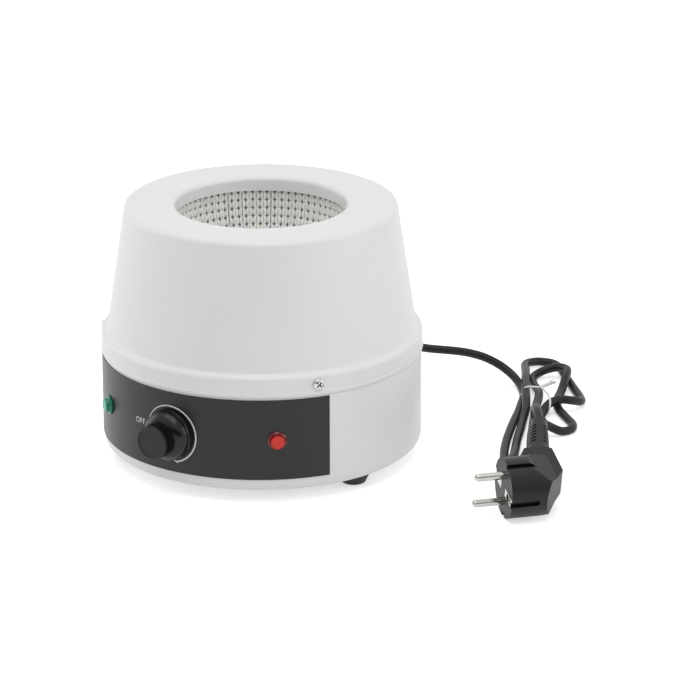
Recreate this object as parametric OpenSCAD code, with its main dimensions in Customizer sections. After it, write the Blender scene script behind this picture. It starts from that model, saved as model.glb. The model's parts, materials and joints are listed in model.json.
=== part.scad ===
/* [Overall] */
// Outer diameter of the lower drum
drum_d = 199; // [170:1:240]
// Height of the mantle over the table
body_h = 162; // [140:1:200]
// Diameter of the flask opening
opening_d = 106; // [86:1:110]

/* [Lower drum] */
// Height of the rubber feet
foot_h = 8; // [6:0.5:12]
// Height of the drum's wall
drum_h = 60.5; // [55:0.5:75]
// Sheet thickness of the drum
drum_t = 1.2; // [0.8:0.1:2]
// Radius of the drum's bottom edge
drum_edge_r = 6; // [3:0.5:10]
// How far the neck is set in from the wall
neck_in = 0.4; // [0.2:0.1:1]
// Height of the neck that the upper shell covers
neck_h = 10.5; // [9.5:0.1:12]

/* [Upper shell] */
// Sheet thickness of the upper shell
shell_t = 1.0; // [0.6:0.1:1.6]
// Gap between the skirt and the neck
skirt_gap = 0.1; // [0.05:0.05:0.4]
// Gap between the drum's wall and the skirt's lower edge
skirt_lift = 0.6; // [0.2:0.1:2]
// Height of the skirt up to its shoulder
skirt_h = 10.4; // [9.5:0.1:14]
// How far the bead on the skirt stands out
bead_out = 0.3; // [0:0.1:1]
// Radius of the rounded shoulder
shoulder_r = 3; // [2:0.5:5]
// Radius of the cone where it leaves the shoulder
cone_in = 3.8; // [3.2:0.1:8]
// Outer diameter of the top, measured without its rounded edge
top_d = 168.6; // [150:0.2:180]
// Radius of the top's outer edge
top_edge_r = 3.5; // [2:0.5:8]
// Radius of the rolled lip of the opening
lip_r = 3; // [1.5:0.5:6]
// Depth of the lip below the top
lip_depth = 9; // [7:0.5:16]

/* [Panel] */
// Angle that the printed panel spans around the drum
panel_angle = 116; // [90:1:150]
// Height of the panel
panel_h = 51; // [44:1:54]
// Thickness of the panel
panel_t = 0.5; // [0.3:0.1:1]
// Layer of glue under the panel
glue_t = 0.05; // [0.02:0.01:0.1]
// Gap between the panel's upper edge and the top of the drum's wall
panel_drop = 1; // [0.5:0.5:4]

/* [Knob] */
// Height of the knob's axis over the table
knob_z = 40.7; // [36:0.1:48]
// Diameter of the knob's skirt
knob_d = 32; // [26:0.5:38]
// Length of the knob
knob_len = 20; // [16:0.5:28]
// Diameter of the knob's grip
grip_d = 21.5; // [16:0.5:24]
// Length of the fluted grip
grip_len = 10.5; // [8:0.5:13]
// Number of flutes around the grip
flutes = 30; // [12:1:36]
// Diameter of a flute
flute_d = 1.3; // [0.8:0.1:2]
// Wall thickness of the knob's skirt
knob_wall = 2; // [1.5:0.1:3]
// Angle of the pointer at the off position
off_angle = 164; // [150:1:180]
// Length of the pointer beyond the skirt
nib_len = 1.6; // [1:0.1:2.5]
// Gap between the knob and the panel
knob_gap = 0.5; // [0.3:0.1:1.5]

/* [Power control] */
// Diameter of the control's shaft
shaft_d = 6; // [5:0.5:8]
// Radial clearance of the shaft in its bush
shaft_gap = 0.05; // [0.02:0.01:0.1]
// Diameter of the threaded bush
bush_d = 9.5; // [9:0.1:12]
// Length of the threaded bush
bush_len = 8; // [7:0.5:9]
// Diameter of the control's can
can_d = 24; // [18:0.5:30]
// Depth of the control's can
can_len = 13; // [8:0.5:20]
// Radial clearance of parts that pass through the drum's wall
hole_gap = 0.15; // [0.05:0.05:0.4]

/* [Lamps] */
// Height of both lamps over the table
lamp_z = 41.7; // [36:0.1:48]
// Angle of the red lamp from the knob
red_angle = 39.1; // [30:0.1:50]
// Angle of the green lamp from the knob
green_angle = -36.5; // [-50:0.1:-30]
// Diameter of a lamp's flange
flange_d = 12; // [11:0.1:14]
// Thickness of a lamp's flange
flange_t = 1.1; // [0.8:0.1:2]
// Diameter of a lamp's cap
cap_d = 8.8; // [7:0.1:9.6]
// Height of a lamp's cap over the panel
cap_h = 3.8; // [2.5:0.1:6]
// Diameter of a lamp's body behind the panel
lamp_d = 9.8; // [9:0.1:10.4]
// Length of a lamp's body
lamp_len = 26; // [18:1:32]

/* [Heating bag] */
// Thickness of the woven bag
bag_t = 4; // [3:0.5:6]
// How far the bag stands back from the lip
bag_back = 1.2; // [0.8:0.1:2]
// Gap left between soft pieces and their neighbours
soft_gap = 0.3; // [0.2:0.05:0.6]
// Diameter of the heating wire with its sleeve
wire_d = 3; // [2:0.2:4]
// Number of turns of the heating wire
wire_turns = 7; // [5:1:9]
// Diameter of the hoop in the bag's rim
hoop_d = 3.2; // [2:0.2:4]
// Thickness of the bag's rim
rim_t = 2; // [1.5:0.1:3]

/* [Inner pan] */
// Sheet thickness of the inner pan and the partition
pan_t = 0.8; // [0.6:0.1:1.2]
// Gap between the pan's rim and the upper shell
pan_gap = 2.4; // [1:0.1:5]
// Width of the pan's rim
pan_rim = 3.5; // [3:0.5:6]
// Depth of the pan's rim below the top
pan_drop = 13.2; // [12:0.2:20]
// Radius of the pan's floor
pan_floor_r = 62; // [58:1:70]
// Diameter of the bolt that holds the pan
pan_bolt_d = 5; // [4:1:6]

/* [Fasteners] */
// Diameter of a shell screw's thread
screw_d = 3; // [2.5:0.5:4]
// Diameter of a shell screw's head
head_d = 7; // [6:0.5:8]
// Height of a shell screw's head
head_h = 2.3; // [1.5:0.1:3]
// Depth of a cross recess
cross_depth = 1.4; // [0.8:0.1:1.8]
// Angle of the first shell screw from the knob
screw_angle = 53.7; // [50:0.1:70]
// Height of the shell screws above the skirt's lower edge
screw_up = 6.9; // [5:0.1:9]
// Radial clearance of a screw in its hole
screw_gap = 0.15; // [0.05:0.05:0.4]

/* [Feet] */
// Upper diameter of a foot
foot_d = 21; // [16:0.5:24]
// Lower diameter of a foot
foot_tip_d = 15; // [12:0.5:20]
// Distance of the feet from the body's axis
foot_ring_r = 82; // [70:1:86]
// Angle of the first foot from the knob
foot_angle = 76.8; // [60:0.1:100]

/* [Electronics] */
// Width of the circuit board
board_w = 74; // [60:1:80]
// Depth of the circuit board
board_l = 48; // [40:1:56]
// Thickness of the circuit board
board_t = 1.6; // [1:0.1:2]
// Height of the standoffs under the board
standoff_h = 8; // [5:0.5:12]
// Number of holes in each ring of vents in the drum's floor
vents = 12; // [6:1:18]
// Diameter of a vent hole
vent_d = 5; // [3:0.5:6]

/* [Cord] */
// Diameter of the mains cord
cord_d = 5.6; // [5:0.1:7]
// Height of the cord's exit over the table
exit_z = 33; // [28:0.5:40]
// Length of the tapered strain relief outside the drum
relief_len = 20; // [16:0.5:30]
// Thickness of the cord's hank
hank_h = 11.4; // [11:0.1:14]
// Width of the tie around the hank
tie_w = 3; // [2:0.5:5]
// Thickness of the tie
tie_t = 1; // [0.6:0.1:1.5]

/* [Plug] */
// Diameter of the plug's face
plug_d = 37; // [36:0.5:39]
// Depth of the plug from its face to its back
plug_depth = 36.8; // [32:0.2:42]
// Width of the plug's grip
plug_grip_w = 17.3; // [14:0.1:24]
// Diameter of a pin
pin_d = 4.8; // [4:0.1:4.8]
// Length of a pin in front of the face
pin_len = 19; // [18:0.5:20]
// Distance between the pins
pin_pitch = 19; // [18:0.5:20]
// Width of the plug's side grooves
groove_w = 3.6; // [2:0.2:4]
// Depth of the side grooves
groove_depth = 2.6; // [1:0.2:3.4]
// Length of the side grooves from the face
groove_len = 17.5; // [12:1:20]
// Angle between the cord's side and a guide groove
groove_turn = 102; // [90:1:110]
// Length of the plug's ribbed strain relief
plug_relief_len = 39; // [24:1:44]

/* [Hidden] */
$fn = 64;

drum_r = drum_d / 2;
floor_z = foot_h + drum_t;
wall_top = foot_h + drum_h;
neck_r = drum_r - neck_in;
neck_top = wall_top + neck_h;
skirt_r = neck_r + skirt_gap + shell_t;
skirt_z = wall_top + skirt_lift;
shoulder_z = skirt_z + skirt_h;
cone_base_r = skirt_r - cone_in;
cone_base_z = shoulder_z + shoulder_r;
cone_lean = atan((cone_base_r - top_d / 2) / (body_h - cone_base_z));
opening_r = opening_d / 2;
lip_z = body_h - lip_depth;
panel_r = drum_r + panel_t;
panel_z = wall_top - panel_drop - panel_h;
can_r = can_d / 2;
inner_r = drum_r - drum_t;
can_face = sqrt(inner_r * inner_r - can_r * can_r) - 0.1;
shaft_r = shaft_d / 2;
knob_back = panel_r + knob_gap;
knob_tip = knob_back + knob_len;
nut_face = panel_r + 0.9;
nut_h = 2.4;
bag_r = opening_r + bag_back;
bag_z = lip_z - soft_gap;
bowl_z = bag_z - 2.7;
wire_r = wire_d / 2;
wire_steps = 36;
wire_sag = (bag_r + bag_t) * (1 - cos(180 / wire_steps));
wire_ring_r = bag_r + bag_t + soft_gap + wire_sag + wire_r;
hollow_r = wire_ring_r + wire_r + soft_gap;
wire_low = 20;
wire_high = 78;
partition_t = 1.1;
pan_z = neck_top + partition_t;
pan_rim_z = body_h - pan_drop;
pan_rim_r = cone_r(pan_rim_z, shell_t) - pan_gap;
pan_top_r = pan_rim_r - pan_rim;
hoop_r = hoop_d / 2;
hoop_ring_r = pan_rim_r - hoop_r - 0.4;
hoop_z = pan_rim_z + hoop_r;
board_z = floor_z + standoff_h;
board_y = -12;
board_top = board_z + board_t;
board_hole_x = board_w / 2 - 5;
board_hole_y = board_l / 2 - 5;
foot_angles = [for (i = [0:2]) foot_angle + i * 120];
screw_angles = [for (i = [0:2]) screw_angle + i * 120];
screw_z = skirt_z + screw_up;
lead_d = 2.4;
block_y = 56;
block_w = 46;
block_l = 20;
block_h = 16;
poles = 4;
pole_pitch = 11;
pole_z = floor_z + 9;
exit_r = 6.2;
stub_y = inner_r - 12;
plug_at = [187.9, -20.4, 18.5];
plug_turn = [14.65, 0, 47.4];
plug_r = plug_d / 2;
plug_neck = [30, 27, 0];
plug_lean = 17;

// Cord from the strain relief down to the hank on the table
cord_points = [
    [0, 99, 33], [0, 110, 33], [0, 121, 33], [3, 133, 32], [10, 142, 30.3], [18, 148, 28.3],
    [26, 153, 26.3], [34, 159, 25], [42, 165, 23.8], [49, 171.5, 21.6], [56.5, 178, 18],
    [65, 182.5, 13], [73.5, 183, 8.2], [77.5, 181.2, 6.4]
];
// Cord from the plug's strain relief down to the hank
lead_points = [
    [170, 52.5, 34.9], [166.3, 57.7, 36.3], [162.4, 63.2, 37], [157.3, 70.5, 35.8], [152, 78.5, 32.4],
    [147, 86.3, 27.5], [142.8, 94, 22], [139.8, 101.5, 17], [138.9, 107.5, 14.6]
];
// Middle and radius of the hank's round ends, and the outline of the runs between them
lower_fold = [176.6, 29.5];
lower_fold_r = 20;
upper_folds = [[77.4, 217.4, 14.4], [122, 169, 13.5], [139.6, 127, 14.2]];
hank_outline = [
    [65.2, 209.9], [80.2, 184.2], [76.8, 177], [86, 170], [92, 160.5], [102.7, 136.7], [116.7, 101.7],
    [132.2, 68.7], [146.7, 43.7], [159.2, 19.5], [176.6, 29.5], [184, 48.3], [166.5, 66], [159.5, 75.5],
    [152.5, 88], [145.5, 103], [145, 113.9], [139.6, 127], [149, 137.7], [134, 153], [134, 163],
    [131.6, 178.5], [87.6, 227.5], [77.4, 217.4]
];
tie_at = [109.7, 152.2];
tie_turn = -15.4;
tie_half = 16;

// Points of an arc around [x, y] from angle a to angle b
function arc(x, y, r, a, b, n = 8) =
    [for (i = [0:n]) [x + r * cos(a + (b - a) * i / n), y + r * sin(a + (b - a) * i / n)]];

// Points of a curve that leaves p towards k and arrives at q from k
function bend(p, k, q, n = 6) =
    [for (i = [0:n]) let (s = i / n) (1 - s) * (1 - s) * p + 2 * s * (1 - s) * k + s * s * q];

function reversed(list) = [for (i = [len(list) - 1:-1:0]) list[i]];
function unit(v) = v / norm(v);
function tangent(p, i) = unit(p[min(i + 1, len(p) - 1)] - p[max(i - 1, 0)]);

// A side direction at each point of a path, turned as little as possible from point to point
function sides(p, i = 0, last = [0.3, 0.2, 1]) =
    i == len(p) ? [] :
    let (t = tangent(p, i), s = unit(last - (last * t) * t))
    concat([s], sides(p, i + 1, s));

// A smooth curve through hand-set points, n steps between two of them
function through(p, n) =
    concat(
        [for (i = [0:len(p) - 2], j = [0:n - 1])
            let (s = j / n, a = p[max(i - 1, 0)], b = p[i], c = p[i + 1], d = p[min(i + 2, len(p) - 1)])
            0.5 * (2 * b + (c - a) * s + (2 * a - 5 * b + 4 * c - d) * s * s
                + (3 * b - a - 3 * c + d) * s * s * s)],
        [p[len(p) - 1]]
    );

// Round tube along a path
module tube(path, r, n) {
    side = sides(path);
    points = [for (i = [0:len(path) - 1])
        let (t = tangent(path, i), up = cross(t, side[i]))
        for (k = [0:n - 1]) path[i] + r * (cos(360 * k / n) * side[i] + sin(360 * k / n) * up)];
    walls = [for (i = [0:len(path) - 2], k = [0:n - 1])
        [i * n + k, (i + 1) * n + k, (i + 1) * n + (k + 1) % n, i * n + (k + 1) % n]];
    last = (len(path) - 1) * n;
    polyhedron(
        points,
        concat(walls, [[for (k = [0:n - 1]) k]], [[for (k = [n - 1:-1:0]) last + k]])
    );
}

// Places a piece on the drum at an angle from the knob, with its own Z pointing outwards
module on_drum(angle, z) {
    rotate([0, 0, angle]) translate([0, 0, z]) rotate([90, 0, 0]) children();
}

// Radius of the upper shell's cone at a height, t under its surface
function cone_r(z, t) = cone_base_r - (z - cone_base_z) * tan(cone_lean) - t / cos(cone_lean);

// Half section of the upper shell's surface, t under it
function shell_line(t) =
    let (
        round_end = 80,
        corner = [skirt_r - shoulder_r, shoulder_z],
        p = corner + (shoulder_r - t) * [cos(round_end), sin(round_end)],
        d = [-sin(round_end), cos(round_end)],
        s = (cone_r(p[1], t) - p[0]) / (d[0] + d[1] * tan(cone_lean)),
        k = p + s * d,
        q = [cone_r(k[1] + 1.6, t), k[1] + 1.6],
        edge_x = cone_r(body_h - top_edge_r, 0) - top_edge_r / cos(cone_lean),
        bead = bead_out
    )
    concat(
        [[skirt_r - t, skirt_z], [skirt_r - t, skirt_z + 0.4]],
        [for (a = [0:30:180]) [skirt_r - t + bead * sin(a), skirt_z + 1.5 - 0.8 * cos(a)]],
        arc(corner[0], corner[1], shoulder_r - t, 0, round_end),
        bend(p, k, q),
        arc(edge_x, body_h - top_edge_r, top_edge_r - t, cone_lean, 90),
        arc(opening_r + lip_r, body_h - lip_r, lip_r - t, 90, 180),
        [[opening_r + t, lip_z]]
    );

module upper_shell() {
    color("white") difference() {
        rotate_extrude($fn = 180) polygon(concat(shell_line(0), reversed(shell_line(shell_t))));
        for (a = screw_angles) on_drum(a, screw_z)
            translate([0, 0, skirt_r - 5]) cylinder(r = screw_d / 2 + screw_gap, h = 10);
    }
}

// Half section of the drum's surface, t under it
function drum_line(t) = concat(
    [[0, foot_h + t]],
    arc(drum_r - drum_edge_r, foot_h + drum_edge_r, drum_edge_r - t, -90, 0),
    [[drum_r - t, wall_top - 0.4], [neck_r - t, wall_top], [neck_r - t, neck_top]]
);

module base_drum() {
    color("whitesmoke") difference() {
        rotate_extrude($fn = 180) polygon(concat(drum_line(0), reversed(drum_line(drum_t))));
        on_drum(0, knob_z) translate([0, 0, inner_r - 5]) cylinder(r = bush_d / 2 + hole_gap, h = 10);
        for (a = [red_angle, green_angle]) on_drum(a, lamp_z)
            translate([0, 0, inner_r - 5]) cylinder(r = lamp_d / 2 + hole_gap, h = 10);
        for (a = screw_angles) on_drum(a, screw_z)
            translate([0, 0, inner_r - 5]) cylinder(r = screw_d / 2 + screw_gap, h = 10);
        on_drum(180, exit_z) translate([0, 0, inner_r - 5]) cylinder(r = exit_r + hole_gap, h = 10);
        for (a = foot_angles) at_foot(a) translate([0, 0, foot_h - 1])
            cylinder(r = 2 + screw_gap, h = drum_t + 2);
        for (i = [0:vents - 1], r = [38, 50]) rotate([0, 0, (i + 0.5) * 360 / vents])
            translate([0, -r - 8, foot_h - 1]) cylinder(d = vent_d, h = drum_t + 2);
    }
}

module control_panel() {
    color([0.22, 0.22, 0.23]) difference() {
        rotate([0, 0, -90 - panel_angle / 2]) rotate_extrude(angle = panel_angle, $fn = 180)
            translate([drum_r + glue_t, panel_z]) square([panel_t - glue_t, panel_h]);
        on_drum(0, knob_z) translate([0, 0, drum_r - 5]) cylinder(r = bush_d / 2 + hole_gap, h = 10);
        for (a = [red_angle, green_angle]) on_drum(a, lamp_z)
            translate([0, 0, drum_r - 5]) cylinder(r = lamp_d / 2 + hole_gap, h = 10);
    }
}

// Half section of the knob, from its back at z = 0
function knob_line() = concat(
    [[knob_d / 2 - knob_wall, 0], [knob_d / 2 - 0.3, 0], [knob_d / 2, 0.3], [knob_d / 2, 2.2]],
    bend(
        [knob_d / 2 - 0.3, 3],
        [knob_d / 2 - 0.8, knob_len - grip_len - 1.5],
        [grip_d / 2, knob_len - grip_len + 0.4],
        8
    ),
    arc(grip_d / 2 - 1.2, knob_len - 1.2, 1.2, 0, 90, 5),
    [[grip_d / 2 - 2.2, knob_len - 0.5], [0, knob_len - 0.2]]
);

module knob() {
    nut_room = nut_face + nut_h + 1.2 - knob_back;
    color([0.09, 0.09, 0.09]) on_drum(0, knob_z) translate([0, 0, knob_back]) difference() {
        union() {
            rotate_extrude() polygon(concat(
                knob_line(),
                [[0, 4.2 + nut_room], [9.4, 4.2 + nut_room], [9.4, 4.5], [knob_d / 2 - knob_wall, 3]]
            ));
            rotate([0, 0, off_angle]) translate([knob_d / 2 - 1, 0, 0.3]) linear_extrude(height = 1.8)
                polygon([[0, -1.4], [1 + nib_len, 0], [0, 1.4]]);
        }
        translate([0, 0, 1]) cylinder(r = shaft_r + 0.02, h = knob_len - 5);
        for (i = [0:flutes - 1]) rotate([0, 0, i * 360 / flutes])
            translate([grip_d / 2 + 0.25, 0, knob_len - grip_len + 1.6])
            cylinder(d = flute_d, h = grip_len + 2, $fn = 16);
    }
}

module pot_shaft() {
    color("silver") on_drum(0, knob_z) translate([0, 0, can_face - 3])
        cylinder(r = shaft_r, h = knob_tip - 5 - can_face + 3);
}

module pot_body() {
    color([0.45, 0.45, 0.48]) on_drum(0, knob_z) difference() {
        union() {
            translate([0, 0, can_face - can_len]) cylinder(r = can_r, h = can_len);
            translate([0, 0, can_face - 1]) cylinder(d = bush_d, h = bush_len + 1);
            for (x = [-7, 0, 7]) translate([x - 1.5, can_r - 1, can_face - can_len + 2])
                cube([3, 7, 0.8]);
        }
        translate([0, 0, can_face - 4]) cylinder(r = shaft_r + shaft_gap, h = bush_len + 6);
    }
}

module pot_washer() {
    color("silver") on_drum(0, knob_z) translate([0, 0, panel_r + 0.05]) difference() {
        cylinder(r = 7.5, h = 0.8);
        translate([0, 0, -1]) cylinder(r = bush_d / 2 + 0.1, h = 3);
    }
}

module pot_nut() {
    color("silver") on_drum(0, knob_z) translate([0, 0, nut_face]) difference() {
        cylinder(r = 7.2, h = nut_h, $fn = 6);
        translate([0, 0, -1]) cylinder(r = bush_d / 2 + 0.05, h = nut_h + 2);
    }
}

// Lens of a signal lamp: a flange and a tapered cap
module lens() {
    translate([0, 0, panel_r + 0.05]) rotate_extrude() polygon(concat(
        [[0, 0], [flange_d / 2, 0], [flange_d / 2, flange_t - 0.4], [flange_d / 2 - 0.4, flange_t],
         [cap_d / 2 + 0.9, flange_t], [cap_d / 2 + 0.3, flange_t + 0.5]],
        arc(cap_d / 2 - 0.9, cap_h - 0.8, 0.8, 0, 90, 5),
        [[0, cap_h + 0.1]]
    ));
}

module green_lens() {
    color([0.02, 0.5, 0.38]) on_drum(green_angle, lamp_z) lens();
}

module red_lens() {
    color([0.8, 0.08, 0.06]) on_drum(red_angle, lamp_z) lens();
}

module lamp_bodies() {
    color("ivory") for (a = [red_angle, green_angle]) on_drum(a, lamp_z)
        translate([0, 0, panel_r + 0.05 - lamp_len]) {
            cylinder(d = lamp_d, h = lamp_len);
            for (x = [-2.5, 2.5]) translate([x - 0.4, -1.5, -6]) cube([0.8, 3, 6]);
        }
}

module lamp_clips() {
    clip_face = sqrt(inner_r * inner_r - 64) - 0.1;
    color("silver") for (a = [red_angle, green_angle]) on_drum(a, lamp_z)
        translate([0, 0, clip_face - 1]) difference() {
            cylinder(r = 8, h = 1);
            translate([0, 0, -1]) cylinder(r = lamp_d / 2 + 0.05, h = 3);
        }
}

// Round-headed screw along Z with its head above z = 0
module pan_screw(d, head, h, length) {
    difference() {
        union() {
            rotate_extrude($fn = 48) polygon(concat(
                [[0, 0], [head / 2, 0], [head / 2, h * 0.35]],
                bend([head / 2 - 0.1, h * 0.5], [head / 2 - 0.5, h], [0, h], 6)
            ));
            translate([0, 0, -length]) cylinder(d = d, h = length + 0.1);
        }
        for (a = [0, 90]) rotate([0, 0, a + 45])
            translate([-head * 0.3, -0.45, h - cross_depth]) cube([head * 0.6, 0.9, h]);
    }
}

module nut(d, across, h) {
    difference() {
        cylinder(d = across / cos(30), h = h, $fn = 6);
        translate([0, 0, -1]) cylinder(d = d, h = h + 2);
    }
}

module shell_screws() {
    color("silver") for (a = screw_angles) on_drum(a, screw_z)
        translate([0, 0, skirt_r]) pan_screw(screw_d, head_d, head_h, 7);
}

module shell_nuts() {
    seat = sqrt(pow(neck_r - drum_t, 2) - 10) - 0.05;
    color("silver") for (a = screw_angles) on_drum(a, screw_z)
        translate([0, 0, seat - 2.4]) nut(screw_d + 0.04, 5.5, 2.4);
}

// Half section of the bag: a hemisphere, a straight rim and a flange over the insulation
function bowl(r, a, b) = arc(0, bowl_z, r, a, b, 24);

module heating_bag() {
    flange_z = pan_rim_z + soft_gap;
    flange_r = hoop_ring_r - hoop_r - soft_gap;
    color([0.71, 0.71, 0.68]) rotate_extrude($fn = 120) polygon(concat(
        bowl(bag_r, -90, 0),
        [[bag_r, bag_z], [bag_r + bag_t - 1, bag_z], [bag_r + bag_t, bag_z - 1],
         [bag_r + bag_t, flange_z + rim_t], [flange_r, flange_z + rim_t], [flange_r, flange_z]],
        [[bag_r + bag_t + 1, flange_z]],
        bowl(bag_r + bag_t, -3, -90)
    ));
}

module bag_hoop() {
    color("silver") rotate_extrude($fn = 120)
        translate([hoop_ring_r, hoop_z + 0.02]) circle(r = hoop_r, $fn = 24);
}

module heating_wire() {
    steps = wire_steps * wire_turns;
    path = [for (i = [0:steps])
        let (a = wire_low + (wire_high - wire_low) * i / steps, turn = 360 * i / wire_steps)
        [wire_ring_r * sin(a) * cos(turn), wire_ring_r * sin(a) * sin(turn), bowl_z - wire_ring_r * cos(a)]];
    color("peru") tube(path, wire_r, 6);
}

// Where the two ends of the heating wire meet their leads
wire_start = [wire_ring_r * sin(wire_low), 0, bowl_z - wire_ring_r * cos(wire_low)];
wire_end = [wire_ring_r * sin(wire_high), 0, bowl_z - wire_ring_r * cos(wire_high)];

// Radius of the pan's wall at a height
function pan_r(z) = pan_floor_r + (pan_top_r - pan_floor_r) * (z - pan_z) / (pan_rim_z - pan_z);

module insulation() {
    low = pan_z + pan_t + 0.1;
    high = pan_rim_z;
    color("wheat") difference() {
        rotate_extrude($fn = 120) polygon(concat(
            [[0, low], [pan_r(low) - pan_t - soft_gap, low], [pan_r(high) - pan_t - soft_gap, high]],
            [[sqrt(hollow_r * hollow_r - pow(bowl_z - high, 2)), high]],
            bowl(hollow_r, -asin((bowl_z - high) / hollow_r) - 1, -90)
        ));
        for (p = [wire_start, wire_end]) translate([p[0], 0, low - 1])
            cylinder(d = lead_d + 1, h = p[2] - low + 1);
        translate([0, 0, low - 1]) cylinder(r = 6, h = 5);
    }
}

module inner_pan() {
    color("gainsboro") difference() {
        rotate_extrude($fn = 120) polygon([
            [0, pan_z], [pan_floor_r, pan_z], [pan_top_r, pan_rim_z - pan_t], [pan_rim_r, pan_rim_z - pan_t],
            [pan_rim_r, pan_rim_z], [pan_top_r - pan_t, pan_rim_z],
            [pan_floor_r - pan_t, pan_z + pan_t], [0, pan_z + pan_t]
        ]);
        pan_holes();
    }
}

// Holes for the pan's bolt and the heater's leads, through the pan and the partition
module pan_holes() {
    translate([0, 0, neck_top - 1]) cylinder(r = pan_bolt_d / 2 + 0.1, h = 6);
    for (p = [wire_start, wire_end]) translate([p[0], 0, neck_top - 1]) cylinder(d = lead_d + 0.8, h = 6);
}

module partition() {
    color("lightgray") difference() {
        translate([0, 0, neck_top]) cylinder(r = neck_r - 0.2, h = partition_t, $fn = 180);
        pan_holes();
        for (i = [0:7]) rotate([0, 0, i * 45 + 22.5]) translate([80, 0, neck_top - 1]) cylinder(d = 8, h = 4);
    }
}

module pan_bolt() {
    color("silver") translate([0, 0, pan_z + pan_t])
        pan_screw(pan_bolt_d, pan_bolt_d * 1.9, 3, pan_t + partition_t + 6.5);
}

module pan_nut() {
    color("silver") translate([0, 0, neck_top - 4]) nut(pan_bolt_d + 0.04, pan_bolt_d * 1.6, 4);
}

// Places a piece at each corner hole of the circuit board
module at_board_holes() {
    for (x = [-1, 1], y = [-1, 1]) translate([x * board_hole_x, board_y + y * board_hole_y, 0]) children();
}

module circuit_board() {
    color("darkgreen") difference() {
        translate([-board_w / 2, board_y - board_l / 2, board_z]) cube([board_w, board_l, board_t]);
        at_board_holes() translate([0, 0, board_z - 1]) cylinder(r = 1.6, h = board_t + 2);
    }
}

module board_standoffs() {
    color("gold") at_board_holes() difference() {
        translate([0, 0, floor_z]) cylinder(r = 3, h = standoff_h);
        translate([0, 0, floor_z + 1]) cylinder(r = 1.55, h = standoff_h);
    }
}

module board_screws() {
    color("silver") at_board_holes() translate([0, 0, board_top]) pan_screw(3, 5.5, 2, board_t + 5);
}

module heat_sink() {
    w = 34;
    color("dimgray") translate([-w / 2, board_y + board_l / 2 - 8, board_top]) {
        cube([w, 2, 26]);
        for (i = [0:6]) translate([i * (w - 1.2) / 6, 1.5, 0]) cube([1.2, 6, 26]);
    }
}

module triac() {
    color([0.12, 0.12, 0.12]) translate([-5, board_y + board_l / 2 - 12.5, board_top]) {
        translate([0, 0, 6]) cube([10, 4.5, 10]);
        translate([0, 3.2, 6]) cube([10, 1.3, 15]);
        for (x = [1.6, 4.6, 7.6]) translate([x, 1.8, 0]) cube([0.8, 0.6, 7]);
    }
}

module choke() {
    color("goldenrod") translate([-20, board_y - 2, board_top + 4.5])
        rotate_extrude($fn = 48) translate([6.5, 0]) circle(r = 4.5, $fn = 24);
}

module board_parts() {
    color("firebrick") {
        translate([6, board_y - 10, board_top]) cube([18, 8, 12]);
        translate([6, board_y + 2, board_top]) cube([12, 5, 9]);
        translate([-6, board_y - 16, board_top]) cylinder(r = 4, h = 10);
        translate([28, board_y - 8, board_top]) cube([6, 20, 9]);
    }
}

module terminal_block() {
    color("ivory") difference() {
        translate([-block_w / 2, block_y - block_l / 2, floor_z]) cube([block_w, block_l, block_h]);
        for (i = [0:poles - 1]) translate([pole_x(i), block_y, 0]) {
            translate([0, 0, pole_z]) rotate([90, 0, 0]) cylinder(r = 2.6, h = block_l + 2, center = true);
            for (y = [-5, 5]) translate([0, y, pole_z]) cylinder(r = 2.2, h = block_h);
        }
    }
}

function pole_x(i) = (i - (poles - 1) / 2) * pole_pitch;

module terminal_clamps() {
    color("gold") for (i = [0:poles - 1]) translate([pole_x(i), block_y, pole_z]) difference() {
        union() {
            rotate([90, 0, 0]) cylinder(r = 2.5, h = 15, center = true);
            for (y = [-5, 5]) translate([0, y, 0]) cylinder(r = 2.1, h = 5.5);
        }
        for (y = [-5, 5]) translate([-2.5, y - 0.4, 4.8]) cube([5, 0.8, 2]);
    }
}

module earth_screw() {
    color("silver") translate([-44, 48, floor_z]) {
        nut(4.04, 7, 3.2);
        cylinder(d = 4, h = 8);
        translate([0, 0, 3.2]) nut(4.04, 7, 3.2);
    }
}

// Places a piece at a foot, at an angle from the knob
module at_foot(angle) {
    rotate([0, 0, angle]) translate([0, -foot_ring_r, 0]) children();
}

module feet() {
    color([0.1, 0.1, 0.1]) for (a = foot_angles) at_foot(a) difference() {
        rotate_extrude($fn = 48) polygon([
            [0, 0], [foot_tip_d / 2 - 0.8, 0], [foot_tip_d / 2, 0.6],
            [foot_d / 2, foot_h - 1.2], [foot_d / 2, foot_h], [0, foot_h]
        ]);
        translate([0, 0, -1]) cylinder(r = 4.2, h = 5);
        translate([0, 0, -1]) cylinder(r = 2.1, h = foot_h + 2);
    }
}

module foot_screws() {
    color("silver") for (a = foot_angles) at_foot(a) translate([0, 0, 4]) mirror([0, 0, 1])
        pan_screw(4, 7.6, 2.6, foot_h - 4 + drum_t + 5);
}

module foot_nuts() {
    color("silver") for (a = foot_angles) at_foot(a) translate([0, 0, floor_z]) nut(4.04, 7, 3.2);
}

// Moulded strain relief of the cord: it snaps into the drum's wall and tapers outwards
module strain_relief() {
    seat = sqrt(inner_r * inner_r - 64) - 0.1;
    color([0.08, 0.08, 0.08]) on_drum(180, exit_z) rotate_extrude($fn = 48) polygon([
        [0, stub_y], [cord_d / 2, stub_y], [cord_d / 2, seat - 4], [7, seat - 4], [8, seat - 2.5],
        [8, seat], [exit_r, seat], [exit_r, drum_r + 0.02], [8.5, drum_r + 0.02], [8.5, drum_r + 1.4],
        [7.9, drum_r + 2.2], [6, drum_r + 2.8], [cord_d / 2 + 1.2, drum_r + relief_len + 1],
        [0, drum_r + relief_len + 1]
    ]);
}

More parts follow.
